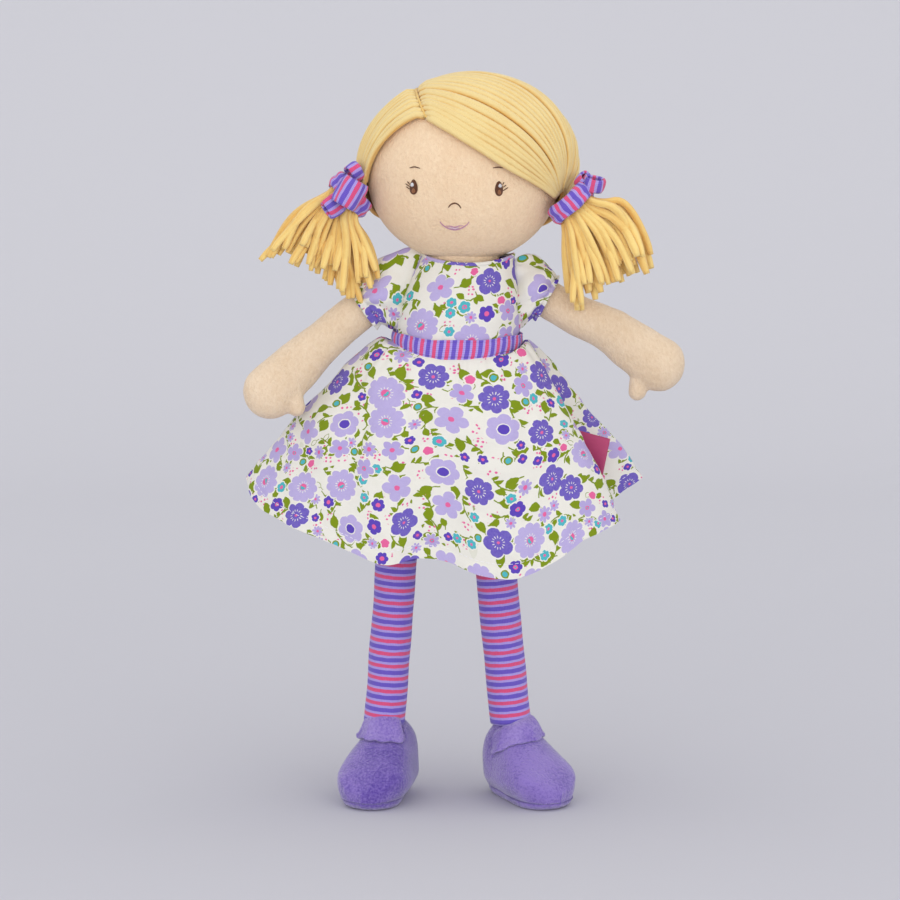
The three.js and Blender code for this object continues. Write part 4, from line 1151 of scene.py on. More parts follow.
def make_bunches(materials):
    turns = turns_round(STRIP_SIDES)
    for side in SIDES:
        rng = random.Random(BUNCH_SEED[side])
        fabric, painted_shade_depths = Fabric(), []
        count = BUNCH_STRIPS[side]
        for index in range(count):
            layer = ((index * 2) % 5 - 2) * 0.55 + rng.uniform(-0.2, 0.2)
            fan = ((index + 0.5) / count) * 2 - 1 + rng.uniform(-0.09, 0.09)
            length = BUNCH_LENGTH[side] * table_at(BUNCH_LENGTHS[side], fan) * (1.07 - rng.uniform(0.0, 0.3))
            line, deep = strip_route(side, fan, layer, length, rng.uniform(-STRIP_CURL, STRIP_CURL),
                                     rng.uniform(-STRIP_TWIST, STRIP_TWIST))
            shares = np.linspace(0, 1, len(line))
            half = LOOSE_RADIUS[side] * (0.8 + 0.2 * smooth(0.0, 0.3, shares)) * rng.uniform(0.85, 1.15)
            half = half * (1 - 0.25 * smooth(0.9, 1, shares))
            fabric.body(tube_rows(line, half, half * 0.9, STRIP_SIDES, -deep, groove=0.14))
            # Painted shade: darker in the groove where each strip rolls over, on the sides that face
            # neighbouring strips, on strips of the middle layers and near the tie.
            groove = 0.4 * np.exp(-(((turns - math.pi * 0.62) / 0.3) ** 2))
            inner = np.clip(0.42 - 0.7 * np.abs(np.sin(turns)), 0, 1) + 0.24 * max(1 - abs(layer + 0.1), 0)
            root = 0.2 * (1 - smooth(0.05, 0.35, shares))
            painted_shade_depths.append(np.clip(groove[None] + inner[None] + root[:, None], 0, 1).ravel())
        piece = fabric.make(f"bunch_strips_{side}")
        with_painted_shade(piece, np.concatenate(painted_shade_depths))
        dress_up(piece, materials["bunch"], f"bunch_{side}", "hair_jersey", f"bunch_{side}")


BAND_HEIGHT = 0.009
BAND_HALF_WIDTH = 0.0136
BAND_HALF_DEPTH = 0.0104
BAND_THICKNESS = 0.0018
BAND_INSET = 0.0012
LOOP_THICKNESS = 0.0014
BOW_LOOPS = {
    "right": (
        {"at": (0.04, -1.03, 0.1), "wide": 0.5, "deep": 0.36, "tall": 1.12, "aim": (0.5, 0, 0.86)},
        {"at": (0.18, -0.44, 0.92), "wide": 0.34, "deep": 0.41, "tall": 0.44, "aim": (0.8, 0.3, 0.5)},
        {"at": (-0.625, -0.77, -0.4), "wide": 0.37, "deep": 0.19, "tall": 0.735, "aim": (-0.9, -0.5, -0.6)},
    ),
    "left": (
        {"at": (0.88, -0.07, 0.77), "wide": 0.4, "deep": 0.32, "tall": 0.51, "aim": (0.2, -0.3, 1)},
        {"at": (0.48, 0.15, 0.92), "wide": 0.265, "deep": 0.29, "tall": 0.44, "aim": (0.5, -0.6, 0.6)},
    ),
}


def jersey_loop(centre, loop, seed):
    """A short standing loop of jersey: an open drum whose edges curl."""
    aim = unit(loop["aim"])
    up = unit(np.array((0, 1, 0)) - aim * aim[1])
    across = np.cross(up, aim)
    middle = centre + np.array(loop["at"]) * BAND_HALF_WIDTH
    wide, deep = loop["wide"] * BAND_HALF_WIDTH, loop["deep"] * BAND_HALF_WIDTH
    tall = loop["tall"] * BAND_HALF_WIDTH

    def place(height, turn):
        edge = 1 - 0.12 * (2 * abs(height)) ** 4
        ripple = 1 + 0.07 * math.sin(3 * turn + seed) + 0.04 * math.sin(5 * turn + 4 * height + seed)
        point = middle + aim * tall * height
        point = point + across * wide * math.cos(turn) * edge * ripple
        return point + up * deep * math.sin(turn) * edge * ripple

    return grid(np.linspace(-0.5, 0.5, 11), turns_round(44), place)


def stripes_round(rows):
    """Flat pattern whose V runs round the rows, so that the stripes cross the strip."""
    flat = Fabric.flat_of(rows, True)
    return flat[..., ::-1]


def tie_band(side, centre):
    """The gathered band of a tie, round the bunch."""
    aim = unit(BUNCH_AIMS[side])
    up = unit(np.array((0, 1, 0)) - aim * aim[1])
    across = np.cross(up, aim)

    def place(height, turn):
        edge = 1 - 0.1 * height**4
        fold = 1 + 0.03 * math.sin(4 * turn + 5 * height) + 0.02 * math.sin(9 * turn - 3 * height)
        point = centre + aim * (height * BAND_HEIGHT / 2 + 0.0006 * math.sin(3 * turn))
        point = point + across * (BAND_HALF_WIDTH - BAND_INSET) * edge * fold * math.cos(turn)
        return point + up * (BAND_HALF_DEPTH - BAND_INSET) * edge * fold * math.sin(turn)

    return grid(np.linspace(-1, 1, 13), turns_round(56), place)


def make_ties(materials):
    for side in SIDES:
        centre = joint_place(f"bunch_swing_{side}")
        rows = tie_band(side, centre)
        fabric = Fabric().shell(rows, BAND_THICKNESS, stripes_round(rows), closed=True)
        for number, loop in enumerate(BOW_LOOPS[side]):
            rows = jersey_loop(centre, loop, number * 1.9)
            fabric.shell(rows, LOOP_THICKNESS, stripes_round(rows), closed=True)
        piece = fabric.make(f"tie_jersey_{side}")
        dress_up(piece, materials["stripes"], "head", "striped_knit", f"hair_tie_{side}")


# Body and limbs
BODY_SECTIONS = (
    (0.2116, 0.020, 0.013, -0.0104), (0.2145, 0.028, 0.020, -0.010), (0.224, 0.033, 0.025, -0.0088),
    (0.251, 0.0322, 0.024, -0.004), (0.268, 0.0326, 0.024, -0.0022), (0.281, 0.0307, 0.0215, -0.001),
    (0.289, 0.0265, 0.0165, -0.0006), (0.2926, 0.019, 0.0145, -0.0003),
)
BODY_SIDES = 96
TORSO_GROW = -0.0002


def body_at(height):
    heights = [s[0] for s in BODY_SECTIONS]
    return tuple(float(np.interp(height, heights, [s[k] for s in BODY_SECTIONS])) for k in (1, 2, 3))


def body_ring(height, grow):
    wide, deep, lean = body_at(height)
    turns = turns_round(BODY_SIDES)
    return np.stack([lean + (wide + grow) * np.cos(turns), (deep + grow) * np.sin(turns),
                     np.full(BODY_SIDES, height)], axis=1)


def make_torso(materials):
    low, high = node_box("torso")
    rows = np.array([body_ring(z, TORSO_GROW) for z in np.linspace(low[2], high[2], 60)])
    rows = lumpy(averaged(rows, 3), 0.02, 0.0005, 4.0)
    torso = Fabric().body(rows).make("torso_velour")
    dress_up(torso, materials["skin"], "torso", "skin_velour", "torso")


SHOULDER_BALL = 0.010
ARM_RADIUS = 0.0104
ARM_DEPTH = 0.0096
HAND_RADIUS = 0.0146
HAND_DEPTH = 0.010
THUMB_RADIUS = 0.0047
SKIN_GROW = 0.0004
ARM_VOXEL = 0.0011
ARM_REACH = {"right": 0.0632, "left": 0.067}
ARM_DROP = {"right": 0.0532, "left": 0.039}
HAND_FORWARD = {"right": 0.012, "left": 0.002}
ARM_SHARES = {
    "right": ((0, 0), (0.32, 0.27), (0.6, 0.55), (0.8, 0.775), (1, 1)),
    "left": ((0, 0), (0.33, 0.31), (0.6, 0.52), (0.8, 0.76), (1, 1)),
}
THUMB_SHARES = {
    "right": ((0.75, 0.49), (0.99, -0.6)),
    "left": ((0.68, -0.07), (0.77, -1.04)),
}


def arm_route(side):
    pivot = joint_place(f"arm_swing_{side}")
    return [pivot + np.array((SIGN[side] * out * ARM_REACH[side], -HAND_FORWARD[side] * out**3,
                              -down * ARM_DROP[side])) for out, down in ARM_SHARES[side]]


def thumb_route(side):
    hand = arm_route(side)[-1]
    return [hand + np.array((-SIGN[side] * inward * HAND_RADIUS, 0, up * HAND_RADIUS))
            for inward, up in THUMB_SHARES[side]]


def stuffed_limb(route, wides, deeps, sides, steps, round_end=True):
    """A tube along a route with a ball at its start and a round or flat end."""
    line = curve_points(route, steps)
    shares = np.linspace(0, 1, steps)
    knots = np.linspace(0, 1, len(wides))
    wide, deep = np.interp(shares, knots, wides), np.interp(shares, knots, deeps)
    wide, deep = averaged(wide, 6), averaged(deep, 6)
    aims = unit(np.gradient(line, axis=0))
    turns = np.linspace(0.08, 0.92, 8) * math.pi / 2
    start = [line[0] - aims[0] * wide[0] * math.cos(t) for t in turns]
    end = [line[-1] + aims[-1] * wide[-1] * math.cos(t) for t in turns[::-1]] if round_end else []
    full = np.array(start + list(line) + end)

    def with_ends(half):
        last = half[-1] * np.sin(turns[::-1]) if round_end else []
        return np.concatenate([half[0] * np.sin(turns), half, last])

    return tube_rows(full, with_ends(wide), with_ends(deep), sides)


def remeshed(piece, voxel, passes):
    """One smooth skin round the shapes of a piece."""
    modifier = piece.modifiers.new("skin", "REMESH")
    modifier.mode = "VOXEL"
    modifier.voxel_size = voxel
    modifier.use_smooth_shade = True
    graph = bpy.context.evaluated_depsgraph_get()
    mesh = bpy.data.meshes.new_from_object(piece.evaluated_get(graph))
    piece.modifiers.clear()
    piece.data = mesh
    work = bmesh.new()
    work.from_mesh(mesh)
    for _ in range(passes):
        bmesh.ops.smooth_vert(work, verts=work.verts, factor=0.5, use_axis_x=True,
                              use_axis_y=True, use_axis_z=True)
    work.to_mesh(mesh)
    work.free()
    smooth_shaded(mesh)
    return piece


def make_arms(materials):
    for side in SIDES:
        wrist = 0.4 * ARM_RADIUS + 0.6 * HAND_RADIUS
        wides = [
            SHOULDER_BALL, ARM_RADIUS + SKIN_GROW, ARM_RADIUS + 0.0011,
            wrist + 0.0008, HAND_RADIUS + SKIN_GROW,
        ]
        deeps = [
            SHOULDER_BALL, ARM_DEPTH + SKIN_GROW, ARM_DEPTH + 0.0009,
            ARM_DEPTH + 0.0007, HAND_DEPTH + SKIN_GROW,
        ]
        fabric = Fabric().body(stuffed_limb(arm_route(side), wides, deeps, 48, 70))
        thumb_wides, thumb_deeps = [THUMB_RADIUS + SKIN_GROW] * 2, [THUMB_RADIUS] * 2
        fabric.body(stuffed_limb(thumb_route(side), thumb_wides, thumb_deeps, 24, 20))
        arm = remeshed(fabric.make(f"arm_velour_{side}"), ARM_VOXEL, 5)
        for vertex in arm.data.vertices:
            point = np.array(vertex.co)
            normal = np.array(vertex.normal)
            lump = 0.0006 * wrinkle(point, 0.018, 5.0) + 0.0002 * wrinkle(point, 0.006, 8.0)
            vertex.co = Vector(point + normal * lump)
        dress_up(arm, materials["arm"], f"arm_{side}", "skin_velour", f"arm_{side}")


HIP_BALL = 0.0113
THIGH_RADIUS = 0.0114
CALF_RADIUS = 0.0113
ANKLE_RADIUS = 0.0115
ANKLE_HEIGHT = 0.042
ANKLE_MIDDLE = -0.0084
ANKLE_HALF_SPAN = 0.0352
STRIPE_START = 0.002


def ankle_point(side):
    return np.array((ANKLE_MIDDLE + SIGN[side] * ANKLE_HALF_SPAN, 0, ANKLE_HEIGHT))


def make_legs(materials):
    for side in SIDES:
        hip, ankle = joint_place(f"leg_swing_{side}"), ankle_point(side)
        radii = [HIP_BALL, THIGH_RADIUS, CALF_RADIUS, ANKLE_RADIUS]
        rows = stuffed_limb([hip, (hip + ankle) / 2, ankle], radii, radii, 48, 90, round_end=False)
        rows = lumpy(rows, 0.024, 0.0007, 6.0 + SIGN[side])
        flat = Fabric.flat_of(rows, True)
        flat[..., 1] += STRIPE_START
        leg = Fabric().body(rows, flat).make(f"leg_jersey_{side}")
        dress_up(leg, materials["stripes"], f"leg_{side}", "striped_knit", f"leg_{side}")


# Shoes
SHOE_LENGTH = 0.060
SHOE_HALF_WIDTH = 0.0203
SHOE_BELLY = 0.0145
SHOE_TUCK = math.radians(31)
SHOE_HEIGHT = 0.045
SHOE_COLLAR = 0.015
SHOE_TOE_HEIGHT = 0.024
SOLE_THICKNESS = 0.0046
SOLE_EDGE = ((0.0, 0.80), (0.0003, 0.86), (0.0011, 0.93), (0.0023, 0.975), (0.0035, 0.995),
             (SOLE_THICKNESS, 1.0))
SEAM_POINTS = 220
SEAM_RADIUS = 0.00042
SEAM_FROM_SHARE = 0.5
HEEL_BEHIND_ANKLE = {"right": 0.0185, "left": 0.015}
TOE_TURN = {"right": -0.36, "left": 0.64}
SOLE_WIDTH_SHARES = ((0, 0), (0.03, 0.36), (0.1, 0.6), (0.2, 0.76), (0.34, 0.86), (0.46, 0.94),
                     (0.6, 1), (0.74, 0.98), (0.86, 0.82), (0.95, 0.52), (1, 0))
RIDGE_SHARES = ((0, 0.3), (0.03, 0.62), (0.1, 0.9), (0.2, 1), (0.34, 1), (0.46, 0.9),
                (0.6, 0.74), (0.74, 0.58), (0.86, 0.44), (0.95, 0.31), (1, 0.2))
FOOT_SHIFT = {"right": 0.002, "left": 0.0}
FLAP_FROM = 0.0108
FLAP_REACH = 0.0172
FLAP_TOP = 0.0475
FLAP_THICKNESS = 0.0028
FLAP_CLEAR = 0.0030
FLAP_FALL = 0.0105
FLAP_OVERLAP = 0.001
FLAP_NOSE = 0.0011
FLAP_NOSE_LIFTS = (0.0007, 0.0, -0.0007)
FLAP_SPAN = {"right": (-1.25, 1.05), "left": (-1.5, 1.0)}
FLAP_TILT = {"right": 0.0, "left": 0.0075}


def softened(table):
    """A table of shares as a smooth curve, sampled finely."""
    curve = np.array([catmull([(a, b, 0) for a, b in table], s)[:2] for s in np.linspace(0, 1, 120)])
    return [(float(a), float(b)) for a, b in curve]


WIDTH_CURVE = softened(SOLE_WIDTH_SHARES)
RIDGE_CURVE = softened(RIDGE_SHARES)


def upper_point(share, turn):
    """A point of the upper, tucked in below its widest line and round above it."""
    wide = max(table_at(WIDTH_CURVE, share), 0.02) * SHOE_HALF_WIDTH
    ridge = table_at(RIDGE_CURVE, share) * SHOE_HEIGHT
    belly = min(SHOE_BELLY, ridge * 0.8)
    rise = math.sin(turn)
    tall = max((ridge - SHOE_TOE_HEIGHT) / (SHOE_HEIGHT - SHOE_TOE_HEIGHT), 0)
    lift = max(rise, 0) ** 0.8
    narrow = 1 + tall * (min(SHOE_COLLAR / wide, 1.3) - 1) * lift
    tucked = min(rise, 0) / math.sin(SHOE_TUCK)
    narrow = narrow * (1 - heel_tuck(share) * tucked**2)
    return np.array((wide * narrow * math.cos(turn), -share * SHOE_LENGTH,
                     belly + (ridge - belly) * lift + (belly - SOLE_THICKNESS) * tucked))


def heel_tuck(share):
    """How much further the heel draws in towards its sole than the toe does."""
    return 0.22 * (1 - float(smooth(0.3, 0.95, share)))


def on_foot(points, side):
    points = np.array(points, float)
    points[..., 1] += HEEL_BEHIND_ANKLE[side]
    cos, sin = math.cos(TOE_TURN[side]), math.sin(TOE_TURN[side])
    x, y = points[..., 0].copy(), points[..., 1].copy()
    points[..., 0], points[..., 1] = x * cos - y * sin, x * sin + y * cos
    ankle = ankle_point(side)
    points[..., 0] += ankle[0] + FOOT_SHIFT[side]
    points[..., 1] += ankle[1]
    return points


def upper_height(share, x):
    """How high the upper is at a place beside its middle line."""
    points = np.array([upper_point(share, turn) for turn in np.linspace(0, math.pi / 2, 24)])
    return float(np.interp(-abs(x), -points[:, 0], points[:, 2]))


def sole_line(shares, size, height):
    """Outline of the sole at a height: down one side of the shoe and back up the other."""
    ring = []
    for s in shares:
        wide = table_at(WIDTH_CURVE, s) * SHOE_HALF_WIDTH * math.cos(SHOE_TUCK) * size
        ring.append((wide * (1 - heel_tuck(s)), -(0.5 + (s - 0.5) * size) * SHOE_LENGTH, height))
    return ring + [(-x, y, z) for x, y, z in ring[::-1]]


def make_flap(side, materials, body):
    """A thick fold of velour over the instep: full at the leg, its free edge soft and a little ragged."""
    rings = []
    alongs = np.linspace(0, 1, 15)
    first, last = FLAP_SPAN[side]
    for across in np.linspace(-1, 1, 56):
        angle = first + (last - first) * (across + 1) / 2
        inner = (1 - across) / 2
        round_end = math.sqrt(max(1 - abs(across) ** 5, 0.0))
        ragged = 0.0003 * math.sin(11 * angle + SIGN[side]) + 0.00015 * math.sin(29 * angle)
        ragged += FLAP_TILT[side] * 0.35 * math.sin(math.pi * inner)
        reach = FLAP_FROM + (FLAP_REACH - FLAP_FROM + ragged) * round_end + 0.0008
        over, under = [], []
        for along in alongs:
            radius = FLAP_FROM - FLAP_OVERLAP + (reach - FLAP_FROM + FLAP_OVERLAP) * along
            x, y = radius * math.sin(angle), -HEEL_BEHIND_ANKLE[side] - radius * math.cos(angle)
            ground = upper_height(min(max(-y / SHOE_LENGTH, 0), 1), x)
            start = FLAP_TOP - 0.002 * across**2 - FLAP_TILT[side] * inner**1.5
            free = max(ground + FLAP_CLEAR, start - FLAP_FALL) + 0.0003 * math.sin(13 * angle + 2)
            height = start + (min(free, start - 0.001) - start) * along**1.5
            hidden = max(height - ground - FLAP_THICKNESS, 0)
            thick = FLAP_THICKNESS + hidden * (1 - float(smooth(0.7, 0.98, along)))
            over.append((x, y, height))
            under.append((x, y, height - thick * (0.35 + 0.65 * min(round_end * 1.6, 1))))
        outer = reach + FLAP_NOSE
        nose = (outer * math.sin(angle), -HEEL_BEHIND_ANKLE[side] - outer * math.cos(angle))
        middle = (over[-1][2] + under[-1][2]) / 2
        tip = [(*nose, middle + lift) for lift in FLAP_NOSE_LIFTS]
        rings.append(over + tip + under[::-1])
    rows = lumpy(on_foot(rings, side), 0.006, 0.0004, 21.0)
    piece = Fabric().body(rows).make(f"shoe_flap_velour_{side}")
    dress_up(piece, materials["flap"], body, "shoe_velour", f"shoe_flap_{side}")


def make_shoes(materials):
    for side in SIDES:
        body = f"leg_{side}"
        shares = (1 - np.cos(np.linspace(0.02, 0.98, 60) * math.pi)) / 2
        turns = np.linspace(-SHOE_TUCK, math.pi + SHOE_TUCK, 64)
        rows = grid(shares, turns, upper_point)
        rows = lumpy(on_foot(rows, side), 0.016, 0.0009, 2.0, closed=False)
        rows[..., 2] = np.maximum(rows[..., 2], SOLE_THICKNESS * 0.9)
        upper = Fabric().body(rows).make(f"shoe_upper_{side}")
        dress_up(upper, materials["shoe"], body, "shoe_velour", f"shoe_{side}")

        sole_rows = [sole_line(shares, size, height) for height, size in SOLE_EDGE]
        sole = Fabric().body(on_foot(sole_rows, side)).make(f"shoe_sole_{side}")
        dress_up(sole, materials["shoe"], body, "shoe_velour", f"sole_{side}")

        toe = [share for share in shares[:-2] if share > SEAM_FROM_SHARE]
        line = even_points(on_foot(sole_line(toe, 1.0, SOLE_THICKNESS), side), SEAM_POINTS)
        out = unit(line - on_foot([(0, -SHOE_LENGTH / 2, SOLE_THICKNESS)], side)[0])
        thick = SEAM_RADIUS * (1 + 0.5 * np.sin(np.arange(SEAM_POINTS) * 1.9))
        seam = Fabric().body(tube_rows(line, thick, thick, 8, out))
        dress_up(seam.make(f"shoe_seam_{side}"), materials["shoe_seam"], body, "shoe_velour")
        make_flap(side, materials, body)


# Dress
COTTON = 0.0007
SEAM = 0.0003
BODICE_BOTTOM = 0.245
SHOULDER_TOP = 0.290
NECKLINE_MIDDLE = 0.0027
NECKLINE_HALF_WIDTH = 0.025
DRESS_SIDES = 170
BODICE_PRINT_SHIFT = 0.9


def neckline_point(turn):
    """The boat-shaped neck of the dress: low at the front, high at the shoulders."""
    front, back = max(-math.sin(turn), 0), max(math.sin(turn), 0)
    return np.array((NECKLINE_MIDDLE + NECKLINE_HALF_WIDTH * math.cos(turn), -0.0175 * front + 0.015 * back,
                     0.302 - 0.0047 * front**1.5 - 0.002 * back))


def bodice_point(turn, share, grow=0.0):
    height = BODICE_BOTTOM + (SHOULDER_TOP - BODICE_BOTTOM) * share
    wide, deep, lean = body_at(height)
    grow = grow + SEAM + 0.0008
    low = np.array((lean + (wide + grow) * math.cos(turn), (deep + grow) * math.sin(turn), height))
    high = neckline_point(turn)
    rise = float(smooth(0.75, 1.0, share))
    return low + (high - low) * rise


WAIST_LOW = {"right": 0.2548, "left": 0.2497, "front": 0.2463, "back": 0.2515}
WAIST_HIGH = {"right": 0.2603, "left": 0.2589, "front": 0.2568, "back": 0.2606}


def waist_height(levels, turn):
    """A height that differs at the two sides, the front and the back of the waist."""
    cos, sin = math.cos(turn), math.sin(turn)
    side = levels["left"] + (levels["right"] - levels["left"]) * (1 - cos) / 2
    end = levels["back"] if sin > 0 else levels["front"]
    return side * cos * cos + end * sin * sin


WAIST_BOTTOM = 0.2484
SKIRT_REACH = 0.121
SKIRT_HALF_DEPTH = 0.060
SKIRT_DROP = 0.112
SKIRT_LENGTH = 0.124
HEM_STITCH_SHARE = 0.935
HEM_STITCH_PITCH = 0.0031
HEM_STITCH_LENGTH = 0.0019
HEM_STITCH_START = 0.002
RIBBON_OUT = 0.0027
RIBBON_THICKNESS = 0.0012
RIBBON_STITCH_SHARES = (0.13, 0.87)
BELL_SHARE = 0.6
HEM_SHARES = (
    (0.65, 0.12, 0.77), (0.83, 0.43, 0.65), (0.68, 0.75, 0.78), (0.43, 0.9, 0.9), (0.21, 1, 0.97),
    (-0.02, 0.92, 0.93), (-0.27, 1.02, 0.98), (-0.52, 0.9, 0.9), (-0.77, 0.72, 0.8),
    (-0.93, 0.42, 0.68), (-0.99, 0.06, 0.62), (-0.92, -0.3, 0.74), (-0.775, -0.58, 0.81),
    (-0.59, -0.77, 0.88), (-0.345, -0.96, 0.97), (-0.2, -0.87, 0.945), (-0.08, -0.88, 0.96),
    (0.075, -0.975, 1.02), (0.225, -0.99, 1.035), (0.375, -0.9, 0.975), (0.53, -0.78, 0.87),
    (0.7, -0.42, 0.80),
)
HEM_POINTS = [
    (across * SKIRT_REACH, deep * SKIRT_HALF_DEPTH, WAIST_BOTTOM - down * SKIRT_DROP)
    for across, deep, down in HEM_SHARES
]
SKIRT_PUFF = {"right": 0.0045, "left": 0.008}
LEFT_SEAM_POINT = 10
FRONT_FAN = 1.85
BACK_FAN = 1.75
WAIST_HALF_ROUND = 0.095
LEFT_SEAM_ROUND = LEFT_SEAM_POINT / len(HEM_SHARES)
FRONT_MIDDLE_ROUND = 0.74
PANEL_GAP = 0.0004
PANEL_ROWS = 84
BACK_CUT = {"ends": (0.0, LEFT_SEAM_ROUND), "fan": BACK_FAN, "shift": 0.4}
FRONT_CUT = {"ends": (LEFT_SEAM_ROUND, 1.0), "fan": FRONT_FAN, "shift": 0.0}
SKIRT_PANELS = (
    {"name": "back", "from": PANEL_GAP, "to": LEFT_SEAM_ROUND - PANEL_GAP, "columns": 140,
     "cut": BACK_CUT, "nodes": ["skirt_back"], "side": None},
    {"name": "front_right", "from": LEFT_SEAM_ROUND + PANEL_GAP, "to": FRONT_MIDDLE_ROUND, "columns": 96,
     "cut": FRONT_CUT, "nodes": ["skirt_front"], "side": "right"},
    {"name": "front_left", "from": FRONT_MIDDLE_ROUND, "to": 1 - PANEL_GAP, "columns": 90,
     "cut": FRONT_CUT, "nodes": [], "side": "left"},
)
GATHER_DEPTH = 0.0007
FOLD_SIZE = 0.019
FOLD_DEPTH = 0.0026
CREASE_SIZE = 0.0085
CREASE_DEPTH = 0.0010
HEM_STITCH_DEPTH = 0.00035


def waist_point(turn, share, grow):
    """A point round the waist, from the ribbon's lower edge to its upper one."""
    low, high = waist_height(WAIST_LOW, turn), waist_height(WAIST_HIGH, turn)
    z = low + (high - low) * share
    wide, deep, lean = body_at(z)
    return np.array((lean + (wide + grow) * math.cos(turn), (deep + grow) * math.sin(turn), z))


def skirt_point(round_share, down, folded=True):
    if round_share < LEFT_SEAM_ROUND:
        turn = round_share / LEFT_SEAM_ROUND * math.pi
    else:
        turn = math.pi * (1 + (round_share - LEFT_SEAM_ROUND) / (1 - LEFT_SEAM_ROUND))
    top = waist_point(turn, 0.04, 0.0018 + COTTON / 2)
    edge = catmull(HEM_POINTS, round_share % 1.0, closed=True)
    out = down ** (BELL_SHARE + 0.14 * math.cos(turn) ** 2)
    point = np.array((top[0] + (edge[0] - top[0]) * out, top[1] + (edge[1] - top[1]) * out,
                      top[2] + (edge[2] - top[2]) * down))
    puff = SKIRT_PUFF["left" if math.cos(turn) > 0 else "right"] * abs(math.cos(turn)) ** 3
    point[2] += puff * float(smooth(0.004, 0.04, down) * (1 - smooth(0.05, 0.4, down)))
    if not folded:
        return point
    gathers = math.sin(turn * 38 + 1.3 * math.sin(turn * 5)) * 0.5 + 0.5 * math.sin(turn * 27 + 2)
    away = unit(np.array((math.cos(turn), math.sin(turn), 0)))
    fade = (1 - smooth(0.0, 0.3, down)) * smooth(0.0, 0.02, down)
    spot = (point[0], point[1] * 0.5, point[2] * 0.4)
    folds = FOLD_DEPTH * wrinkle(spot, FOLD_SIZE, 5.0) * smooth(0.06, 0.4, down)
    creases = CREASE_DEPTH * wrinkle(point, CREASE_SIZE, 15.0) * smooth(0.03, 0.2, down)
    stitched = HEM_STITCH_DEPTH * math.exp(-(((down - HEM_STITCH_SHARE) / 0.008) ** 2))
    return point + away * (GATHER_DEPTH * gathers * fade + folds + creases - stitched)


def skirt_downs(rows):
    """Shares down the skirt, close together where it bells out of the waist."""
    even = np.linspace(0, 1, rows)
    return 0.5 * even ** (1 / BELL_SHARE) + 0.5 * even


def skirt_rows(panel):
    rounds = np.linspace(panel["from"], panel["to"], panel["columns"])
    return np.array([[skirt_point(r, d) for r in rounds] for d in skirt_downs(PANEL_ROWS)])


def hem_shares(start, end, wanted):
    """How far along the hem of a whole panel some places lie, as shares of its length."""
    rounds = np.linspace(start, end, 200)
    line = np.array([skirt_point(r, 1.0, folded=False) for r in rounds])
    reach = arc_lengths(line)
    return np.interp(wanted, rounds, reach / reach[-1])


def skirt_flat(panel):
    """Flat cut of a flared panel: part of a ring, spaced as its hem is."""
    cut = panel["cut"]
    (start, end), fan, shift = cut["ends"], cut["fan"], cut["shift"]
    inner = WAIST_HALF_ROUND / fan
    places = np.linspace(panel["from"], panel["to"], panel["columns"])
    evenly, hem = (places - start) / (end - start), hem_shares(start, end, places)
    flat = np.zeros((PANEL_ROWS, panel["columns"], 2))
    for i, down in enumerate(skirt_downs(PANEL_ROWS)):
        radius = inner + SKIRT_LENGTH * down
        angles = (evenly + (hem - evenly) * smooth(0, 0.5, down) - 0.5) * fan
        flat[i] = np.stack([radius * np.sin(angles) + shift, -radius * np.cos(angles)], axis=1)
    return flat


def hem_stitches(name, first, last):
    """Short stitches of thread along the turned-up hem."""
    rounds = np.linspace(first, last, 300)
    line = np.array([skirt_point(r, HEM_STITCH_SHARE) for r in rounds])
    around = np.gradient(line, axis=0)
    downs = np.array([skirt_point(r, HEM_STITCH_SHARE + 0.02) for r in rounds]) - line
    out = unit(np.cross(downs, around))
    line = line + out * (COTTON / 2 + 0.00005)
    reach = arc_lengths(line)
    stitches = Fabric()
    for start in np.arange(0.002, reach[-1] - 0.003, HEM_STITCH_PITCH):
        wanted = start + np.linspace(0, HEM_STITCH_LENGTH, 4)
        dash = np.stack([np.interp(wanted, reach, line[:, k]) for k in range(3)], axis=1)
        normal = np.array([np.interp(start, reach, out[:, k]) for k in range(3)])
        stitches.body(tube_rows(dash, 0.00016, 0.00012, 6, normal))
    return stitches.make(name)


def cloth_area(rows):
    rows = np.asarray(rows, float)
    a, b, c, d = rows[:-1, :-1], rows[:-1, 1:], rows[1:, 1:], rows[1:, :-1]
    first = np.linalg.norm(np.cross(b - a, c - a), axis=2)
    second = np.linalg.norm(np.cross(c - a, d - a), axis=2)
    return float((first + second).sum() / 2)


def make_skirt(materials):
    for panel in SKIRT_PANELS:
        name, side = panel["name"], panel["side"]
        rows = skirt_rows(panel)
        piece = Fabric().shell(rows, COTTON, skirt_flat(panel)).make(f"skirt_{name}_cotton")
        piece.data.set_sharp_from_angle(angle=math.radians(50))
        body = None if side else "torso"
        dress_up(piece, materials["print"], body, "printed_cotton", *panel["nodes"])
        area = cloth_area(rows)
        stitches = hem_stitches(f"hem_stitches_{name}", panel["from"] + HEM_STITCH_START, panel["to"])
        dress_up(stitches, materials["stitch"], body, "printed_cotton")
        if side:
            centre = skirt_point(FRONT_MIDDLE_ROUND, 1.0)
            for soft in (piece, stitches):
                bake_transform(soft)


SLEEVE_ALONG = {"right": 0.0115, "left": 0.0046}
SLEEVE_ELASTIC = {"right": 0.0116, "left": 0.0120}
SLEEVE_FRILL = {"right": 0.0042, "left": 0.0022}
SLEEVE_PUFF = {"right": 0.0092, "left": 0.0068}
ARMHOLE_SHARES = {"right": (0.66, 0.3), "left": (0.63, 0.27)}
ARMHOLE_TURN = 0.25
ARMHOLE_INSET = -0.0012
SLEEVE_TOP_GATHER = 0.0008
SLEEVE_CUFF_GATHER = 0.0015
SLEEVE_SOFTNESS = 0.0011
SLEEVE_PRINT_SHIFT = {"right": 1.3, "left": 1.6}


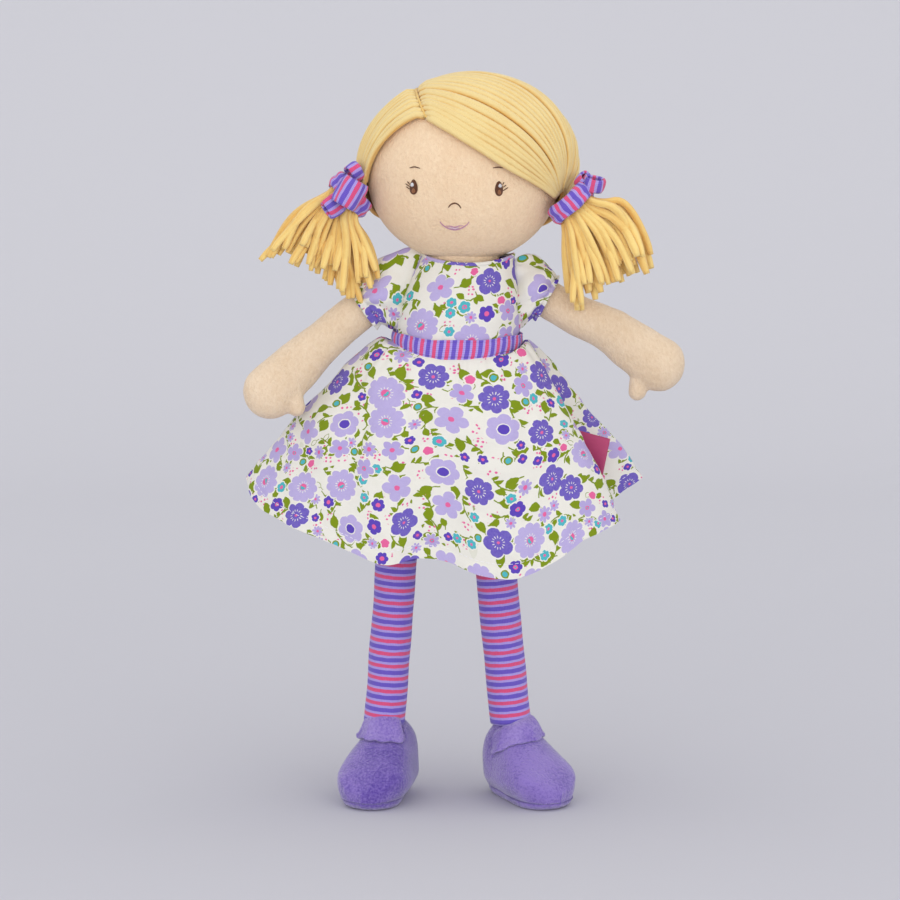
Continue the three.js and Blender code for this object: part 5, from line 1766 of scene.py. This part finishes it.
def sleeve_rows(side):
    """Rings from the armhole over the puff to an elastic round the arm, then a frill."""
    sign = SIGN[side]
    route = arm_route(side)
    pivot = route[0]
    aim = unit(catmull(route, 0.01) - pivot)
    up = unit(np.array((0, 0, 1)) - aim * aim[2])
    base = math.pi if side == "right" else 0.0
    middle, half = ARMHOLE_SHARES[side]
    turns = turns_round(132)
    root = np.array([bodice_point(base - sign * ARMHOLE_TURN * math.sin(t), middle + half * math.cos(t),
                                  ARMHOLE_INSET) for t in turns])
    ring = up * np.cos(turns)[:, None] + np.array((0, -1, 0)) * np.sin(turns)[:, None]
    wave = np.sin(turns * 11 + 1) * 0.6 + np.sin(turns * 17 - 2) * 0.4
    rows = []
    for share in np.linspace(0, 1, 40):
        mouth = pivot + aim * SLEEVE_ALONG[side] + ring * SLEEVE_ELASTIC[side]
        points = root + (mouth - root) * share
        outward = unit(points - points.mean(axis=0))
        puff = SLEEVE_PUFF[side] * math.sin(math.pi * share**0.75) ** 0.7 if 0 < share < 1 else 0.0
        gather = SLEEVE_TOP_GATHER * (1 - smooth(0.05, 0.45, share)) * smooth(0, 0.04, share)
        gather += SLEEVE_CUFF_GATHER * smooth(0.5, 0.95, share)
        soft = SLEEVE_SOFTNESS * np.sin(turns * 6 + 3 * share + sign) * math.sin(math.pi * share)
        swell = puff * (0.52 + 0.48 * np.cos(turns)) + gather * wave + soft
        rows.append(points + outward * swell[:, None])
    for share in np.linspace(0, 1, 9)[1:]:
        reach = SLEEVE_ELASTIC[side] + 0.0016 * share + 0.0007 * (1 + 0.5 * share) * wave
        centre = pivot + aim * (SLEEVE_ALONG[side] + SLEEVE_FRILL[side] * share)
        rows.append(centre + ring * reach[:, None])
    return lumpy(np.array(rows), 0.009, 0.0012, 9.0 + sign), aim, pivot


def make_bodice(materials):
    turns = turns_round(DRESS_SIDES)

    def place(share, turn):
        gather = math.sin(turn * 34) * 0.0004 * smooth(0.86, 1.0, share)
        gather += math.sin(turn * 26 + 1) * 0.0005 * (1 - smooth(0.1, 0.4, share))
        side_folds = abs(math.cos(turn)) ** 3 * math.sin(share * 38 + turn * 3) * 0.0003
        return bodice_point(turn, share, gather + side_folds)

    rows = lumpy(grid(np.linspace(0, 1, 56), turns, place), 0.014, 0.0006, 14.0)
    flat = Fabric.flat_of(rows, True)
    flat[..., 0] += BODICE_PRINT_SHIFT
    piece = Fabric().shell(rows, COTTON, flat, closed=True).make("bodice_cotton")
    dress_up(piece, materials["print"], "torso", "printed_cotton", "dress_bodice")
    area = cloth_area(ring_closed(rows))

    line = np.array([neckline_point(turn) for turn in turns] + [neckline_point(0)])
    neckline = Fabric().body(tube_rows(line, 0.0008, 0.0011, 8, (0, 0, 1)))
    dress_up(neckline.make("neckline_edge"), materials["print"], "torso", "printed_cotton")


def make_waist(materials):

    def place(share, turn):
        stitch = sum(math.exp(-(((share - line) / 0.03) ** 2)) for line in RIBBON_STITCH_SHARES)
        away = np.array((math.cos(turn), math.sin(turn), 0))
        puff = 0.0005 * math.sin(share * math.pi) + 0.0002 * math.sin(turn * 17 + share * 2)
        point = waist_point(turn, share, RIBBON_OUT) + away * (puff - 0.0004 * stitch)
        point[2] += 0.0003 * math.sin(turn * 7)
        return point

    rows = grid(np.linspace(0, 1, 26), turns_round(DRESS_SIDES), place)
    piece = Fabric().shell(rows, RIBBON_THICKNESS, stripes_round(rows), closed=True).make("waist_ribbon")
    dress_up(piece, materials["stripes"], "torso", "striped_ribbon", "waistband")
    round_it = float(np.linalg.norm(np.diff(rows[5], axis=0), axis=1).sum())


def make_sleeves(materials):
    for side in SIDES:
        rows, aim, pivot = sleeve_rows(side)
        flat = Fabric.flat_of(rows, True)
        flat[..., 0] += SLEEVE_PRINT_SHIFT[side]
        piece = Fabric().shell(rows, COTTON, flat, closed=True).make(f"sleeve_cotton_{side}")
        dress_up(piece, materials["print"], None, "printed_cotton", f"sleeve_{side}")
        area = cloth_area(ring_closed(rows))
        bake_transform(piece)


LABEL_LENGTH = 0.0215
LABEL_WIDTH = 0.0235
LABEL_THICKNESS = 0.00035
LABEL_ROUND = 0.9992
LABEL_FROM_SHARE = 0.5
LABEL_TO_SHARE = 0.68
LABEL_AIM = (0.96, -0.1, -0.25)
LABEL_HANG = (-0.21, -0.05, -0.97)


def make_label(materials):
    """A ribbon folded double and caught at a slant in the side seam of the skirt."""
    top = skirt_point(LABEL_ROUND, LABEL_FROM_SHARE, folded=False)
    corner = top + unit(LABEL_AIM) * LABEL_WIDTH
    hang = unit(LABEL_HANG)
    facing = unit(np.cross(hang, unit(LABEL_AIM)))
    rows = []
    for length in np.linspace(0, 1, 20):
        share_down = LABEL_FROM_SHARE + (LABEL_TO_SHARE - LABEL_FROM_SHARE) * length
        held = skirt_point(LABEL_ROUND, share_down, folded=False)
        free = corner + hang * length * LABEL_LENGTH
        line = []
        for share in np.linspace(0, 1, 44):
            part = 1 - abs(2 * share - 1)
            gap = 0.0005 * (1 if share < 0.5 else -1) * min(1.0, (1 - part) * 9)
            bend = 0.0011 * math.sin(length * math.pi) * part
            line.append(held + (free - held) * part + facing * (gap + bend + 0.00045))
        rows.append(line)
    rows = np.array(rows)
    piece = Fabric().shell(rows, LABEL_THICKNESS).make("label_ribbon")
    dress_up(piece, materials["label"], "torso", "label_satin", "side_label")
    cloth_area(rows)


# Setting
# The floor part of the paper is painted darker than the wall part: painted shade.
PAPER_FLOOR_SHADE = "#CBCAD0"
WALL = "#D5D4D9"
LAMPS = (
    ("key", (-0.6, -1.9, 0.22), 1.6, 13.2), ("fill", (1.1, -1.8, 0.15), 1.5, 10.9),
    ("top", (0.1, 0.2, 1.7), 1.2, 0.6),
)
WORLD_LIGHT = 0.98
WORLD_COLOUR = (0.97, 0.98, 1.0, 1.0)
LAMP_AIM = Vector((0, 0, 0.2))
PAPER_FRONT = -2.0
PAPER_BEND = 1.2
PAPER_TOP = 4.0
PAPER_ACROSS = (-4, -2, 0, 2, 4)


def make_stage():
    g = Graph("paper_backdrop", roughness=1.0)
    _, y, _ = g.parts(g.place())
    grain = g.noise(g.place(), 3.0, 2.0)
    g.shader.inputs["Specular IOR Level"].default_value = 0.0
    # Painted shade: the one sheet of paper is darker on the floor than up the wall.
    share = g.math("ADD", g.step(y, -0.3, 1.3), g.span(grain, 0.3, 0.7, -0.03, 0.03), clamp=True)
    material = g.finish(g.mix(share, colour(PAPER_FLOOR_SHADE), colour(WALL)))
    rows = []
    for share in np.linspace(0, 1, 60):
        if share < 0.5:
            y, z = PAPER_FRONT + share * 2 * (PAPER_BEND - PAPER_FRONT), 0.0
        else:
            turn = (share - 0.5) * math.pi
            y, z = PAPER_BEND + math.sin(turn) * PAPER_BEND, (1 - math.cos(turn)) * PAPER_BEND
        rows.append([(x, y, z) for x in PAPER_ACROSS])
    rows.append([(x, 2 * PAPER_BEND, PAPER_TOP) for x in PAPER_ACROSS])
    paper = Fabric().add(np.array(rows)).make("backdrop")
    paper.data.materials.append(material)

    world = bpy.data.worlds.new("studio")
    bpy.context.scene.world = world
    world.use_nodes = True
    back = world.node_tree.nodes["Background"]
    back.inputs["Color"].default_value = WORLD_COLOUR
    back.inputs["Strength"].default_value = WORLD_LIGHT
    for name, place, size, power in LAMPS:
        light = bpy.data.lights.new(name, "AREA")
        light.shape = "SQUARE"
        light.size = size
        light.energy = power
        lamp = placed(name, light)
        lamp.location = place
        lamp.rotation_euler = (LAMP_AIM - Vector(place)).to_track_quat("-Z", "Y").to_euler()


def main():
    scene = bpy.context.scene
    scene.view_settings.view_transform = "Standard"
    make_camera()
    materials = make_materials()
    make_stage()
    make_head(materials)
    make_neck(materials)
    make_hair(materials)
    make_bunches(materials)
    make_ties(materials)
    make_torso(materials)
    make_arms(materials)
    make_legs(materials)
    make_shoes(materials)
    make_bodice(materials)
    make_waist(materials)
    make_skirt(materials)
    make_sleeves(materials)
    make_label(materials)


main()
